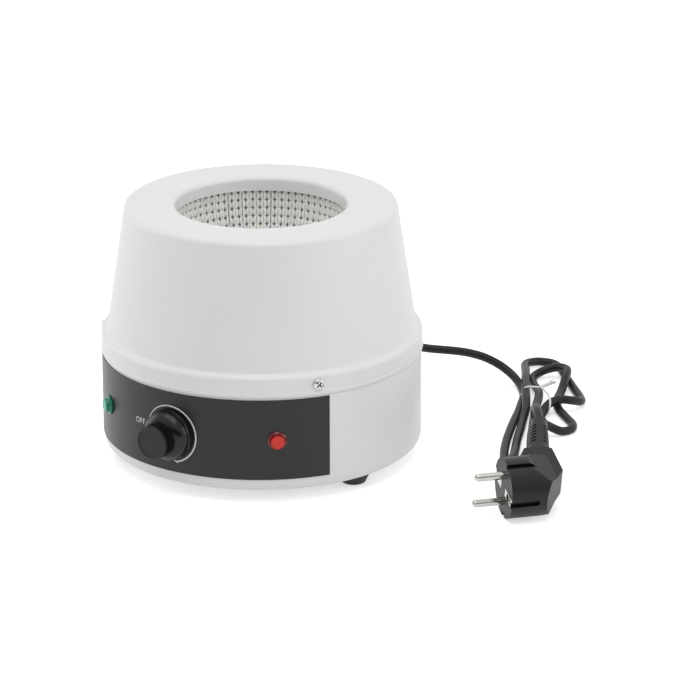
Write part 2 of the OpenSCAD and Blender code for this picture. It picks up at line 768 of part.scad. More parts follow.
// Insulated wires inside, each one a tube through its own points
module wires() {
    module lead(points) {
        tube(through(points, 4), lead_d / 2, 6);
    }
    cord_side = block_y + block_l / 2 + 0.5;
    board_side = block_y - block_l / 2 - 0.5;
    color("firebrick") {
        for (i = [0:1]) lead([
            [0, stub_y - 0.8, exit_z] + [i * 2.8 - 1.4, 0, 0], [pole_x(i + 1) / 2, stub_y - 6, exit_z - 5],
            [pole_x(i + 1), cord_side + 4, pole_z + 3], [pole_x(i + 1), cord_side, pole_z]
        ]);
        for (i = [0:1]) lead([
            [pole_x(i + 1), board_side, pole_z], [pole_x(i + 1), board_side - 5, pole_z + 3],
            [28 + i * 3, board_side - 18, board_top + 8], [29 + i * 4, board_y + 10, board_top + 10.5]
        ]);
        lead([[pole_x(3), board_side, pole_z], [pole_x(3) + 2, board_side - 8, pole_z + 8],
              [wire_start[0], 6, neck_top - 22], [wire_start[0], 0, neck_top - 8],
              [wire_start[0], 0, neck_top + 2], [wire_start[0], 0, wire_start[2] - wire_r - 0.3]]);
        lead([[pole_x(3), cord_side, pole_z], [pole_x(3) + 8, cord_side + 3, pole_z + 4],
              [wire_end[0] - 8, 26, neck_top - 30], [wire_end[0], 3, neck_top - 12],
              [wire_end[0], 0, neck_top + 2], [wire_end[0], 0, wire_end[2] - wire_r - 0.3]]);
    }
}

module power_cord() {
    color([0.1, 0.1, 0.1]) tube(through([for (i = [2:len(cord_points) - 1]) cord_points[i]], 2), cord_d / 2, 10);
}

module plug_lead() {
    color([0.1, 0.1, 0.1]) tube(through(lead_points, 2), cord_d / 2, 10);
}

// The hank: the round ends of its folds and the runs between them
module cord_hank() {
    color([0.1, 0.1, 0.1]) difference() {
        union() {
            translate(lower_fold) cylinder(r = lower_fold_r, h = hank_h);
            for (fold = upper_folds) translate([fold[0], fold[1], 0]) cylinder(r = fold[2], h = hank_h);
            linear_extrude(height = hank_h) polygon(hank_outline);
        }
        tie_room();
    }
}

// Turns a profile across the hank into the tie's band
module tie_band(width) {
    translate([tie_at[0], tie_at[1], 0]) rotate([0, 0, tie_turn]) rotate([90, 0, 0])
        linear_extrude(height = width, center = true) children();
}

// The room that the tie takes under the hank and between its runs
module tie_room() {
    tie_band(tie_w + 0.6) difference() {
        translate([-tie_half - 0.3, -1]) square([2 * tie_half + 0.6, hank_h + 3]);
        translate([-tie_half + tie_t + 0.3, tie_t + 0.3])
            square([2 * (tie_half - tie_t - 0.3), hank_h + 3]);
    }
}

module cord_tie() {
    color("white") tie_band(tie_w) difference() {
        translate([-tie_half, 0]) square([2 * tie_half, hank_h + tie_t + 0.3]);
        translate([-tie_half + tie_t, tie_t]) square([2 * (tie_half - tie_t), hank_h - tie_t + 0.3]);
    }
}

// Places a piece on the plug: x runs back from its face, y towards its cord, z along the pins' line
module on_plug() {
    translate(plug_at) rotate(plug_turn) children();
}

// Side view of the plug's body
function plug_side() = [
    [0, -plug_r], [22, -plug_r], [plug_depth, 1], [plug_depth, 24], [33, 27], [20, 27], [14, plug_r], [0, plug_r]
];

module plug_body() {
    color([0.09, 0.09, 0.09]) on_plug() difference() {
        union() {
            intersection() {
                translate([0, 0, -plug_r]) linear_extrude(height = plug_d) polygon(plug_side());
                translate([0, 40, 0]) rotate([90, 0, 0]) linear_extrude(height = 80) polygon([
                    [0, -plug_r], [14, -plug_r], [31, -plug_grip_w / 2], [plug_depth, -plug_grip_w / 2],
                    [plug_depth, plug_grip_w / 2], [31, plug_grip_w / 2], [14, plug_r], [0, plug_r]
                ]);
                rotate([0, 90, 0]) cylinder(r = plug_r, h = plug_depth, $fn = 96);
            }
            translate([0, 0, -plug_grip_w / 2]) linear_extrude(height = plug_grip_w) polygon([
                [14, 8], [plug_depth, 8], [plug_depth, 24], [33, 27], [20, 27], [14, plug_r - 1]
            ]);
            translate(plug_neck) rotate([-90, 0, -plug_lean]) plug_relief();
        }
        for (z = [-1, 1]) translate([-1, 0, z * pin_pitch / 2]) rotate([0, 90, 0])
            cylinder(r = pin_d / 2 + 0.02, h = 11);
        for (side = [0, 180]) rotate([side, 0, 0]) translate([-1, 3.9, -2.9]) cube([1.7, plug_r, 5.8]);
        earth_hole();
        rotate([180, 0, 0]) plug_groove(groove_len);
        for (a = [-groove_turn, groove_turn]) rotate([a, 0, 0]) plug_groove(groove_len);
        for (i = [0:4], side = [-1, 1]) grip_cut(18 + i * 2.3, side);
    }
}

// Groove along the plug's side, cut inwards from its +Y edge
module plug_groove(length) {
    translate([-1, plug_r - groove_depth, -groove_w / 2]) cube([1 + length - groove_w / 2, 6, groove_w]);
    translate([length - groove_w / 2, plug_r - groove_depth, 0]) rotate([-90, 0, 0])
        cylinder(d = groove_w, h = 6, $fn = 24);
}

// Hole for an earth pin in the plug's face
module earth_hole() {
    translate([-1, -9.5, 0]) rotate([0, 90, 0]) cylinder(d = 4.4, h = 10);
}

// Cut between two finger ribs on a slope of the grip
module grip_cut(x, side) {
    slope_z = plug_r - (x - 14) * (plug_r - plug_grip_w / 2) / 17;
    translate([x, -14, side * (slope_z + 1) - 1.5]) cube([0.8, 26, 3]);
}

// Ribbed strain relief of the plug, along Z
module plug_relief() {
    difference() {
        translate([0, 0, -3]) cylinder(r1 = 7.2, r2 = 4.9, h = plug_relief_len + 3);
        for (i = [0:5]) translate([0, 0, 10 + i * 3.6]) difference() {
            cylinder(r = 10, h = 1.5);
            cylinder(r = 3.6, h = 4, center = true);
            cube([4.4, 20, 4], center = true);
        }
    }
}

module plug_pins() {
    color("silver") on_plug() for (z = [-1, 1]) translate([0, 0, z * pin_pitch / 2]) rotate([0, -90, 0])
        rotate_extrude($fn = 48) polygon(concat(
            [[0, -9.8], [pin_d / 2, -9.8]],
            arc(0, pin_len - pin_d / 2, pin_d / 2, 0, 90)
        ));
}

module plug_earths() {
    color("silver") on_plug() difference() {
        for (side = [0, 180]) rotate([side, 0, 0])
            translate([-0.3, 4, -2.8]) cube([0.9, plug_r - groove_depth - 4.2, 5.6]);
        earth_hole();
    }
}

upper_shell();
base_drum();
control_panel();
knob();
pot_shaft();
pot_body();
pot_washer();
pot_nut();
green_lens();
red_lens();
lamp_bodies();
lamp_clips();
shell_screws();
shell_nuts();
heating_bag();
bag_hoop();
heating_wire();
insulation();
inner_pan();
partition();
pan_bolt();
pan_nut();
circuit_board();
board_standoffs();
board_screws();
heat_sink();
triac();
choke();
board_parts();
terminal_block();
terminal_clamps();
earth_screw();
feet();
foot_screws();
foot_nuts();
strain_relief();
wires();
power_cord();
plug_lead();
cord_hank();
cord_tie();
plug_body();
plug_pins();
plug_earths();
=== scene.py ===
# %% [markdown]
# # Heating mantle: the looks of a laboratory heater
#
# The heater warms round flasks. It is a white powder coated drum with a dark printed panel, a black knob,
# two signal lamps, a knitted glass fibre bowl and a mains lead that is folded into a hank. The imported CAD
# model gives the shapes of the hard pieces; this lesson gives them their finishes, and makes the soft and
# fine pieces: the lead, its wire tie, the knitted bowl and the print on the panel.
#
# Everything is in metres in the frame of the CAD model, so a piece goes where the CAD says.

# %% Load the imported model
import json
import math

import bmesh
import bpy
from mathutils import Matrix, Vector


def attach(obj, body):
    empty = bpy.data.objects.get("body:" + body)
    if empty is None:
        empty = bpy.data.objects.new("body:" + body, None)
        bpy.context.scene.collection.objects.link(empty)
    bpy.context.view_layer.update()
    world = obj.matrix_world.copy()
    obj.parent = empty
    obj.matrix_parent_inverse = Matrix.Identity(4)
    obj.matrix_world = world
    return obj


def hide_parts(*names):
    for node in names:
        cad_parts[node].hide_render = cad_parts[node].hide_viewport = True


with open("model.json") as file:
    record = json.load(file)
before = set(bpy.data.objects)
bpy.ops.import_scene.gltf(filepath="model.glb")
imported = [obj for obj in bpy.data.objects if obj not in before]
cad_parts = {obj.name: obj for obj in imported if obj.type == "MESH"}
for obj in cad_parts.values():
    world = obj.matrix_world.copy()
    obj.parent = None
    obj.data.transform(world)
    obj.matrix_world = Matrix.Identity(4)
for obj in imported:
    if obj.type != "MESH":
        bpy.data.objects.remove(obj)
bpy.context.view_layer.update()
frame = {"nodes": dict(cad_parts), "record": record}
MM = 0.001

# %% [markdown]
# ## Small helpers
#
# Colours are written as sRGB hex codes, the way a paint chart gives them, and one function turns them
# into the linear numbers that the shaders need. One function adds a node with its settings and links,
# and it serves the material trees and the geometry trees alike. Another puts an object in the scene.


# %% Colour and node helpers
def linear(code):
    """An sRGB hex code as linear RGBA."""
    parts = [int(code[i:i + 2], 16) / 255 for i in (1, 3, 5)]
    return [c / 12.92 if c <= 0.04045 else ((c + 0.055) / 1.055) ** 2.4 for c in parts] + [1.0]


def add(tree, kind, inputs=None, **settings):
    """Adds a node; an input is a value, or a socket to link from."""
    node = tree.nodes.new(kind)
    for name, value in settings.items():
        setattr(node, name, value)
    for name, value in (inputs or {}).items():
        if isinstance(value, bpy.types.NodeSocket):
            tree.links.new(value, node.inputs[name])
        else:
            node.inputs[name].default_value = value
    return node


def plain_material(name):
    """A material with an empty node tree."""
    made = bpy.data.materials.new(name)
    made.use_nodes = True
    made.node_tree.nodes.clear()
    return made, made.node_tree


def show(tree, shader):
    """Joins a shader to the material's output."""
    add(tree, "ShaderNodeOutputMaterial", {"Surface": shader.outputs[0]})


def per_metre(size_mm):
    """The scale of a noise texture whose features are this many millimetres."""
    return 1 / (size_mm * MM)


def placed(name, data):
    """A new object with this data, linked to the scene."""
    made = bpy.data.objects.new(name, data)
    bpy.context.collection.objects.link(made)
    return made


print("white paint in linear light:", [round(v, 3) for v in linear("#e8eaec")])

# %% [markdown]
# ## The camera
#
# A long lens from a little above: the sides of the cone hardly converge, so the lens is about 206 mm on
# a 36 mm sensor. It stands 2.5 m away, turned 33 degrees from the knob and 19 degrees above the table.

# %% Camera
lens = bpy.data.cameras.new("camera")
lens.lens = 206.29
lens.sensor_width = 36
lens.clip_end = 30
camera = placed("camera", lens)
turn = Matrix.Rotation(math.radians(32.99), 4, "Z")
tilt = Matrix.Rotation(math.radians(90 - 19.06), 4, "X")
roll = Matrix.Rotation(math.radians(-0.13), 4, "Z")
camera.matrix_world = Matrix.Translation((1.2928, -1.9023, 0.8660)) @ turn @ tilt @ roll
bpy.context.scene.camera = camera
print("camera at", [round(v, 3) for v in camera.location])

# %% [markdown]
# ## The mains lead
#
# The lead is a 5.6 mm three-core PVC cord. It leaves the drum through a tapered strain relief, lies down
# on the table, and the rest is folded into a loose hank that a wire tie holds, with the plug on top of
# it. A cord keeps one length and one thickness, so it is drawn as one curve through given points in
# millimetres, smoothed by a Catmull-Rom spline, which passes through every point. A physics
# solver could lay it too, but a hank that somebody folded has a shape that is easier to choose.

# %% Route of the lead, in millimetres
from_drum = [
    (0, 118, 33), (0, 121, 33), (3, 133, 32), (10, 142, 30.3), (18, 148, 28.3), (26, 153, 26.3),
    (34, 159, 25), (42, 165, 23.8), (49, 171.5, 21.6), (56.5, 178, 18), (65, 182.5, 13), (73.5, 183, 8.2),
    (81, 179.5, 4.8),
]
first_fold = [
    (88.5, 172, 3), (95, 162, 2.8), (100, 150.5, 2.8), (105.5, 138, 2.8), (112.5, 120, 2.8),
    (119.5, 103, 2.8), (127, 86, 2.8), (135, 70, 2.8), (143, 56, 2.8), (149.5, 45, 2.8), (155, 35, 2.8),
    (159, 25, 2.8), (165.5, 16.3, 2.8), (174.5, 12.5, 2.8), (184.5, 14, 2.8), (191.7, 21, 2.8),
    (193.8, 30.6, 2.8), (190, 40, 2.8), (182, 48, 2.8), (172.5, 55, 2.8), (163.5, 63, 2.8), (156, 73, 2.8),
    (149, 86, 2.8), (142, 99, 2.8), (135, 112, 2.8), (128.5, 125, 2.8), (123.5, 135.5, 3.2),
]
big_loop = [
    (121, 144, 5), (121.6, 151.5, 7.6), (125.5, 157.5, 8.5), (130.5, 162.5, 7.4), (132.5, 169.5, 5),
    (130, 176.5, 3.2), (124, 184, 2.8), (114.5, 194, 2.8), (104.5, 204.7, 2.8), (95, 215, 2.8),
    (85.8, 225.2, 2.8), (77.4, 229.2, 3), (69, 225.8, 3.6), (65.6, 217.4, 4.4), (67.9, 210, 5.2),
    (72.8, 202.2, 6.2), (78.4, 193, 7.4), (84, 183.5, 8.5), (90, 173, 8.8), (97, 161, 8.6),
]
second_fold = [
    (104.5, 149, 7.7), (111.3, 137, 5.4), (117, 123.5, 3.2), (124.5, 107.5, 2.8), (131.5, 92, 2.8),
    (139, 77, 3), (145.5, 64.5, 4.8), (150.5, 54, 7), (153.5, 44.5, 8.4), (156, 35, 8.6),
    (159.5, 25.2, 8.6), (165.7, 16.7, 8.6), (174.5, 12.7, 8.6), (184.3, 14.2, 8.6), (191.5, 21.2, 8.6),
    (193.5, 30.6, 8.6), (189.7, 39.8, 8.6), (181.5, 47.5, 8.5), (171.5, 54.5, 8.4), (161.5, 62.5, 8.4),
    (152.5, 73, 8.4), (145, 86, 8.4), (138, 99.5, 8.4), (131, 113, 8.4), (123.5, 127.5, 8.4),
    (117, 141, 8.6),
]
small_loop = [
    (111, 154, 8.4), (104.5, 165.5, 6.6), (97, 176.5, 4.2), (88.5, 186.5, 2.8), (82, 195.5, 2.8),
    (80.8, 204, 3.6), (84.7, 210.4, 5.6), (92, 212.8, 7.8), (99.3, 210.4, 8.6), (103.4, 204, 8.6),
    (106, 197.3, 7.6), (108.6, 190.3, 5.4), (111, 182.8, 3.3), (113.6, 175.2, 2.8), (117, 167.5, 2.8),
    (121.3, 160, 2.8),
]
to_plug = [
    (127, 153, 2.8), (134, 146.5, 2.8), (141, 140.5, 2.8), (147.5, 134.5, 2.8), (150.8, 126.8, 2.8),
    (148, 119.3, 3.2), (142.5, 114.5, 6.6), (138.8, 108.3, 11.6), (139.6, 101.5, 16.6), (142.8, 94, 22),
    (147, 86.3, 27.5), (152, 78.5, 32.4), (157.3, 70.5, 35.8), (162.4, 63.2, 37), (166.3, 57.7, 36.3),
    (170.1, 52.2, 34.8), (171.5, 49.7, 34.1),
]
route = from_drum + first_fold + big_loop + second_fold + small_loop + to_plug
print("the lead's route has", len(route), "points")


# %% [markdown]
# ## From points to a smooth line
#
# A Catmull-Rom spline passes through its points and leaves each one in the direction of its neighbours,
# so the line has no corners. Between two points it can swing a little below them, so it is held half a
# thickness above the table. The same function serves the lead and the tie.

# %% Smooth line and tube
def through(points, steps, diameter):
    """A Catmull-Rom line through points in millimetres, in metres, for a cord of this diameter."""
    points = [Vector(p) * MM for p in points]
    last = len(points) - 1
    line = []
    for i in range(last):
        a, b, c, d = points[max(i - 1, 0)], points[i], points[i + 1], points[min(i + 2, last)]
        for step in range(steps):
            s = step / steps
            line.append(0.5 * (2 * b + (c - a) * s + (2 * a - 5 * b + 4 * c - d) * s * s
                               + (3 * b - a - 3 * c + d) * s ** 3))
    return [Vector((x, y, max(z, diameter / 2))) for x, y, z in line + [points[last]]]


def cord_curve(name, line, diameter, sides=4):
    """A round cord along a line, as a curve with a bevel."""
    curve = bpy.data.curves.new(name, "CURVE")
    curve.dimensions = "3D"
    curve.bevel_depth = diameter / 2
    curve.bevel_resolution = sides
    curve.use_fill_caps = True
    spline = curve.splines.new("POLY")
    spline.points.add(len(line) - 1)
    for point, place in zip(spline.points, line):
        point.co = (*place, 1)
    spline.use_smooth = True
    return placed(name, curve)


lead_d = 5.6 * MM
lead_line = through(route, 6, lead_d)
lead_length = sum((b - a).length for a, b in zip(lead_line, lead_line[1:]))
lead = cord_curve("mains_lead", lead_line, lead_d)
print("the lead is", round(lead_length, 3), "m long")

# %% [markdown]
# ## PVC of the lead
#
# Extruded soft PVC: nearly black, with a satin skin and a little dust. The marks that drawing leaves are
# far thinner than a pixel, so a fine even grain on the object's own coordinates stands for them.


# %% Material of the lead, and of the soft black pieces
def soft_black(name, colour, dusty, roughness, grain_mm, bump, gloss):
    """A satin black polymer with a fine grain and a touch of dust."""
    made, tree = plain_material(name)
    place = add(tree, "ShaderNodeTexCoord").outputs["Object"]
    grain = add(tree, "ShaderNodeTexNoise", {"Vector": place, "Scale": per_metre(grain_mm), "Detail": 3.0})
    cloud = add(tree, "ShaderNodeTexNoise", {"Vector": place, "Scale": per_metre(14), "Detail": 4.0})
    tint = add(tree, "ShaderNodeMix", {0: cloud.outputs["Fac"], 6: linear(colour), 7: linear(dusty)},
               data_type="RGBA")
    rough = add(tree, "ShaderNodeMapRange", {0: grain.outputs["Fac"], 3: roughness - 0.06,
                                             4: roughness + 0.08})
    height = add(tree, "ShaderNodeBump", {"Height": grain.outputs["Fac"], "Strength": bump,
                                          "Distance": 0.15 * MM})
    show(tree, add(tree, "ShaderNodeBsdfPrincipled", {
        "Base Color": tint.outputs[2], "Roughness": rough.outputs[0], "Normal": height.outputs[0],
        "IOR": 1.54, "Specular IOR Level": gloss}))
    return made


pvc = soft_black("extruded_pvc", "#0c0c0d", "#19191a", 0.42, 0.7, 0.25, 0.27)
lead.data.materials.append(pvc)
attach(lead, "mantle")
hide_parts("power_cord", "plug_lead", "cord_hank")
print("lead material:", pvc.name)

# %% [markdown]
# ## The wire tie
#
# A white plastic-coated wire goes once round the hank, and its two ends are twisted together on top. It
# is thinner than the CAD band that holds its place. Its ring is drawn in the hank's own directions: a
# goes across the runs, b along them, and z up, so each point can be set just outside the runs it hugs.
# Only under the hank, where it isn't seen, does it sink into the runs that lie on the table.

# %% Wire tie: ring and twisted ends
tie_d = 1.4 * MM
tie_middle, across = Vector((109.7, 152.2, 0)), Vector((0.964, -0.266, 0))
along = Vector((0.266, 0.964, 0))
tie_ring = [
    (-4.4, 8.0, 12.3), (-7.8, 5.6, 12.3), (-10.6, 3.6, 12.1), (-13.2, 3.0, 10.6), (-15.2, 3.2, 7.6),
    (-16.2, 3.2, 4), (-15.4, 2, 1.4), (-12, 0.4, 0.8), (0, -1.6, 0.8), (10, -3.6, 0.8), (13.6, -3.8, 1.4),
    (15, -3, 4), (14.6, -1.4, 7.2), (12.4, 0.8, 10), (8.4, 3.2, 11.6), (3, 5.8, 12.2), (-0.8, 7.6, 12.3),
    (-3.2, 8.2, 12.4),
]


def at_hank(a, b, z):
    """A point of the hank's own frame, in the shared frame."""
    return tie_middle + across * a + along * b + Vector((0, 0, z))


ring_line = through([at_hank(*p) for p in tie_ring], 5, tie_d)
twist_from, twist_to = at_hank(-3.8, 8.1, 12.6), at_hank(-4.4, 21, 13.6)
twist_axis = (twist_to - twist_from).normalized()
side = twist_axis.cross(Vector((0, 0, 1))).normalized()
up = side.cross(twist_axis)
twist_turns, twist_steps = 4.5, 48
twist_lines = []
for start, spread, end in ((0, 0.0, 0.93), (math.pi, 0.5, 1)):
    turns = []
    for step in range(twist_steps + 1):
        part = step / twist_steps
        angle = start + part * twist_turns * 2 * math.pi
        reach = 0.6 + spread * part * part
        turns.append(twist_from.lerp(twist_to, part * end)
                     + reach * (side * math.cos(angle) + up * math.sin(angle)))
    twist_lines.append([p * MM for p in turns])


def as_mesh(source, name):
    """The evaluated shape of an object as a new plain mesh object; the source is removed."""
    bpy.context.view_layer.update()
    graph = bpy.context.evaluated_depsgraph_get()
    mesh = bpy.data.meshes.new_from_object(source.evaluated_get(graph), depsgraph=graph)
    mesh.name = name
    bpy.data.objects.remove(source)
    return placed(name, mesh)


def join(parts, name):
    """Several mesh objects as one."""
    mesh = bmesh.new()
    for part in parts:
        mesh.from_mesh(part.data)
    made = placed(name, parts[0].data.copy())
    mesh.to_mesh(made.data)
    mesh.free()
    made.data.name = name
    for part in parts:
        bpy.data.objects.remove(part)
    return made


tie_curves = [cord_curve(f"tie_{i}", line, tie_d, sides=2)
              for i, line in enumerate([ring_line] + twist_lines)]
tie = join([as_mesh(curve, f"tie_part_{i}") for i, curve in enumerate(tie_curves)], "wire_tie")
print("wire tie faces:", len(tie.data.polygons))

# %% [markdown]
# ## PVC coating of the tie
#
# White soft PVC drawn over a steel wire: it picks up grey from handling, so its colour moves a little
# between white and warm grey.

# %% Material of the tie, and its place on the mantle
tie_pvc, tree = plain_material("white_pvc_coating")
place = add(tree, "ShaderNodeTexCoord").outputs["Object"]
smudge = add(tree, "ShaderNodeTexNoise", {"Vector": place, "Scale": per_metre(5), "Detail": 3.0})
tint = add(tree, "ShaderNodeMix", {0: smudge.outputs["Fac"], 6: linear("#f4f4f2"), 7: linear("#dddcd8")},
           data_type="RGBA")
show(tree, add(tree, "ShaderNodeBsdfPrincipled", {"Base Color": tint.outputs[2], "Roughness": 0.4}))
tie.data.materials.append(tie_pvc)
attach(tie, "mantle")
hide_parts("cord_tie")
print("the tie is attached to the mantle")

# %% [markdown]
# ## Floor and light
#
# A pale floor, one big softbox overhead, a small key softbox above the front and one at each side. The
# world gives a plain level of soft light. It looks pure white to the camera, and to reflections, so the
# metal shows a white studio; that brightness comes from the ray kind and not from more light on the
# object. A black card in front gives bright metal the dark stripe without which it reads as white paint;
# only reflections see it.

# %% World, floor and lamps
scene = bpy.context.scene
scene.view_settings.view_transform = "Standard"


def seen_rays(tree):
    """1 for camera, glossy and transmission rays, 0 for the rays that light the object."""
    rays = add(tree, "ShaderNodeLightPath")
    two = add(tree, "ShaderNodeMath", {0: rays.outputs["Is Camera Ray"], 1: rays.outputs["Is Glossy Ray"]},
              operation="MAXIMUM")
    return add(tree, "ShaderNodeMath", {0: two.outputs[0], 1: rays.outputs["Is Transmission Ray"]},
               operation="MAXIMUM").outputs[0]


world = bpy.data.worlds.new("studio")
scene.world = world
world.use_nodes = True
world.node_tree.nodes.clear()
sky_level = 0.52
strength = add(world.node_tree, "ShaderNodeMapRange", {0: seen_rays(world.node_tree), 3: sky_level, 4: 1.0})
add(world.node_tree, "ShaderNodeOutputWorld", {"Surface": add(world.node_tree, "ShaderNodeBackground", {
    "Color": linear("#ffffff"), "Strength": strength.outputs[0]}).outputs[0]})

floor_mesh = bpy.data.meshes.new("floor")
floor_half, floor_z = 12, -0.0002
floor_mesh.from_pydata([(x * floor_half, y * floor_half, floor_z)
                        for x, y in ((-1, -1), (1, -1), (1, 1), (-1, 1))], [], [(0, 1, 2, 3)])
floor = placed("floor", floor_mesh)
paper, tree = plain_material("matt_studio_paper")
floor_glow = 0.55
glow = add(tree, "ShaderNodeMath", {0: seen_rays(tree), 1: floor_glow}, operation="MULTIPLY")
show(tree, add(tree, "ShaderNodeBsdfPrincipled", {
    "Base Color": linear("#f8f8f8"), "Roughness": 1.0, "Specular IOR Level": 0.0,
    "Emission Color": linear("#ffffff"), "Emission Strength": glow.outputs[0]}))
floor_mesh.materials.append(paper)


lamp_aim = Vector((0, 0, 0.1))


def softbox(name, place, size, power):
    """A square area lamp that looks at the middle of the mantle."""
    lamp = bpy.data.lights.new(name, "AREA")
    lamp.shape, lamp.size, lamp.energy = "SQUARE", size, power
    turned = (lamp_aim - Vector(place)).to_track_quat("-Z", "Y").to_matrix().to_4x4()
    placed(name, lamp).matrix_world = Matrix.Translation(place) @ turned


softbox("overhead_softbox", (0.0, -0.3, 2.0), 1.6, 12.6)
softbox("key_softbox", (0.62, -0.68, 1.8), 0.4, 2.8)
softbox("right_softbox", (1.6, 0.6, 0.6), 0.9, 5)
softbox("left_softbox", (-1.6, -0.3, 0.5), 0.9, 4)

card_mesh = bpy.data.meshes.new("dark_card")
card_mesh.from_pydata([(-0.5, -2.2, 0.05), (2.3, -0.9, 0.05), (2.3, -0.9, 0.75), (-0.5, -2.2, 0.75)], [],
                      [(0, 1, 2, 3)])
card = placed("dark_card", card_mesh)
felt, tree = plain_material("black_studio_felt")
show(tree, add(tree, "ShaderNodeBsdfPrincipled", {"Base Color": linear("#0c0c0c"), "Roughness": 1.0,
                                                  "Specular IOR Level": 0.0}))
card_mesh.materials.append(felt)
card.visible_camera = card.visible_diffuse = card.visible_shadow = False
print("sky level", sky_level)

# %% [markdown]
# ## Powder coat
#
# The drum, the shell and the ring round the opening are steel and cast metal under a white powder coat:
# a dry polyester paint that is baked on. It gives a satin white with a very shallow orange peel, about
# a millimetre across, which only shows where a highlight breaks up over it.

# %% Powder coat
peel_mm = 1.4
coat, tree = plain_material("powder_coated_steel")
place = add(tree, "ShaderNodeTexCoord").outputs["Object"]
peel = add(tree, "ShaderNodeTexNoise", {"Vector": place, "Scale": per_metre(peel_mm), "Detail": 2.0,
                                        "Roughness": 0.45})
drift = add(tree, "ShaderNodeTexNoise", {"Vector": place, "Scale": per_metre(60), "Detail": 2.0})
tint = add(tree, "ShaderNodeMix", {0: drift.outputs["Fac"], 6: linear("#e9eaea"), 7: linear("#e4e5e6")},
           data_type="RGBA")
rough = add(tree, "ShaderNodeMapRange", {0: peel.outputs["Fac"], 3: 0.34, 4: 0.46})
height = add(tree, "ShaderNodeBump", {"Height": peel.outputs["Fac"], "Strength": 0.12,
                                      "Distance": 0.05 * MM})
show(tree, add(tree, "ShaderNodeBsdfPrincipled", {
    "Base Color": tint.outputs[2], "Roughness": rough.outputs[0], "Normal": height.outputs[0],
    "IOR": 1.5}))
print(coat.name, "peel every", peel_mm, "mm")

# %% [markdown]
# ## Panel film
#
# The panel is a printed polyester film with a fine texture that keeps glare off: nearly black, and only
# the flat angle at its far left mirrors the studio. The texture is about 0.3 mm, drawn at 0.6 mm.

# %% Panel film
film, tree = plain_material("printed_polyester_film")
place = add(tree, "ShaderNodeTexCoord").outputs["Object"]
texture = add(tree, "ShaderNodeTexNoise", {"Vector": place, "Scale": per_metre(0.6), "Detail": 2.0})
drift = add(tree, "ShaderNodeTexNoise", {"Vector": place, "Scale": per_metre(30), "Detail": 3.0})
tint = add(tree, "ShaderNodeMix", {0: drift.outputs["Fac"], 6: linear("#141415"), 7: linear("#1a1a1b")},
           data_type="RGBA")
rough = add(tree, "ShaderNodeMapRange", {0: texture.outputs["Fac"], 3: 0.3, 4: 0.44})
height = add(tree, "ShaderNodeBump", {"Height": texture.outputs["Fac"], "Strength": 0.2,
                                      "Distance": 0.04 * MM})
show(tree, add(tree, "ShaderNodeBsdfPrincipled", {
    "Base Color": tint.outputs[2], "Roughness": rough.outputs[0], "Normal": height.outputs[0],
    "IOR": 1.48, "Specular IOR Level": 0.42}))
print(film.name)

# %% [markdown]
# ## Moulded black plastic and rubber
#
# The knob is moulded ABS with a satin skin; its front face has a dry, lighter grey texture with turning
# rings, so the colour is mixed in by the distance along the knob's axis. The plug and the strain relief
# are moulded on to the lead from a harder PVC, and the feet are rubber, which is the most matt.

# %% Knob, plug and rubber
plug_pvc = soft_black("moulded_pvc", "#0b0b0c", "#151516", 0.42, 0.8, 0.3, 0.29)
rubber = soft_black("moulded_rubber", "#272727", "#343434", 0.6, 0.5, 0.4, 0.4)

knob_z, knob_face_y, face_ring_mm = 40.7, -118.7, 0.9
abs_skin, tree = plain_material("moulded_abs")
place = add(tree, "ShaderNodeTexCoord").outputs["Object"]
axes = add(tree, "ShaderNodeSeparateXYZ", {0: place})
front = add(tree, "ShaderNodeMapRange", {0: axes.outputs["Y"], 1: knob_face_y * MM,
                                         2: (knob_face_y - 0.6) * MM})
spark = add(tree, "ShaderNodeTexNoise", {"Vector": place, "Scale": per_metre(0.5), "Detail": 3.0})
flat = add(tree, "ShaderNodeVectorMath", {0: place, 1: (0, 0, knob_z * MM)}, operation="SUBTRACT")
flat = add(tree, "ShaderNodeVectorMath", {0: flat.outputs[0], 1: (1, 0, 1)}, operation="MULTIPLY")
ring = add(tree, "ShaderNodeVectorMath", {0: flat.outputs[0]}, operation="LENGTH")
ring = add(tree, "ShaderNodeMath", {0: ring.outputs["Value"], 1: 2 * math.pi / (face_ring_mm * MM)},
           operation="MULTIPLY")
ring = add(tree, "ShaderNodeMath", {0: ring.outputs[0]}, operation="SINE")
face = add(tree, "ShaderNodeMix", {0: spark.outputs["Fac"], 6: linear("#1e1e1f"), 7: linear("#272728")},
           data_type="RGBA")
tint = add(tree, "ShaderNodeMix", {0: front.outputs[0], 6: linear("#0a0a0b"), 7: face.outputs[2]},
           data_type="RGBA")
rough = add(tree, "ShaderNodeMapRange", {0: front.outputs[0], 3: 0.24, 4: 0.58})
turned = add(tree, "ShaderNodeMath", {0: ring.outputs[0], 1: front.outputs[0]}, operation="MULTIPLY")
skin = add(tree, "ShaderNodeMath", {0: turned.outputs[0], 1: spark.outputs["Fac"]}, operation="ADD")
height = add(tree, "ShaderNodeBump", {"Height": skin.outputs[0], "Strength": 0.25, "Distance": 0.06 * MM})
show(tree, add(tree, "ShaderNodeBsdfPrincipled", {
    "Base Color": tint.outputs[2], "Roughness": rough.outputs[0], "Normal": height.outputs[0],
    "IOR": 1.54, "Specular IOR Level": 0.3}))
print("black plastics:", plug_pvc.name, rubber.name, abs_skin.name)

# %% [markdown]
# ## Lamp lenses
#
# The lamps are moulded from clear coloured polycarbonate. The light enters and comes back coloured, so
# the cap looks bright and deep, while the thin flange round it stays dark. Both are painted into the
# colour, a painted glow on the cap and painted shade on the flange, mixed by the distance from the
# lamp's own axis, which the cross product of place and axis gives.


# %% Lenses
lamp_z, cap_r, flange_r = 41.7, 3.9, 4.6


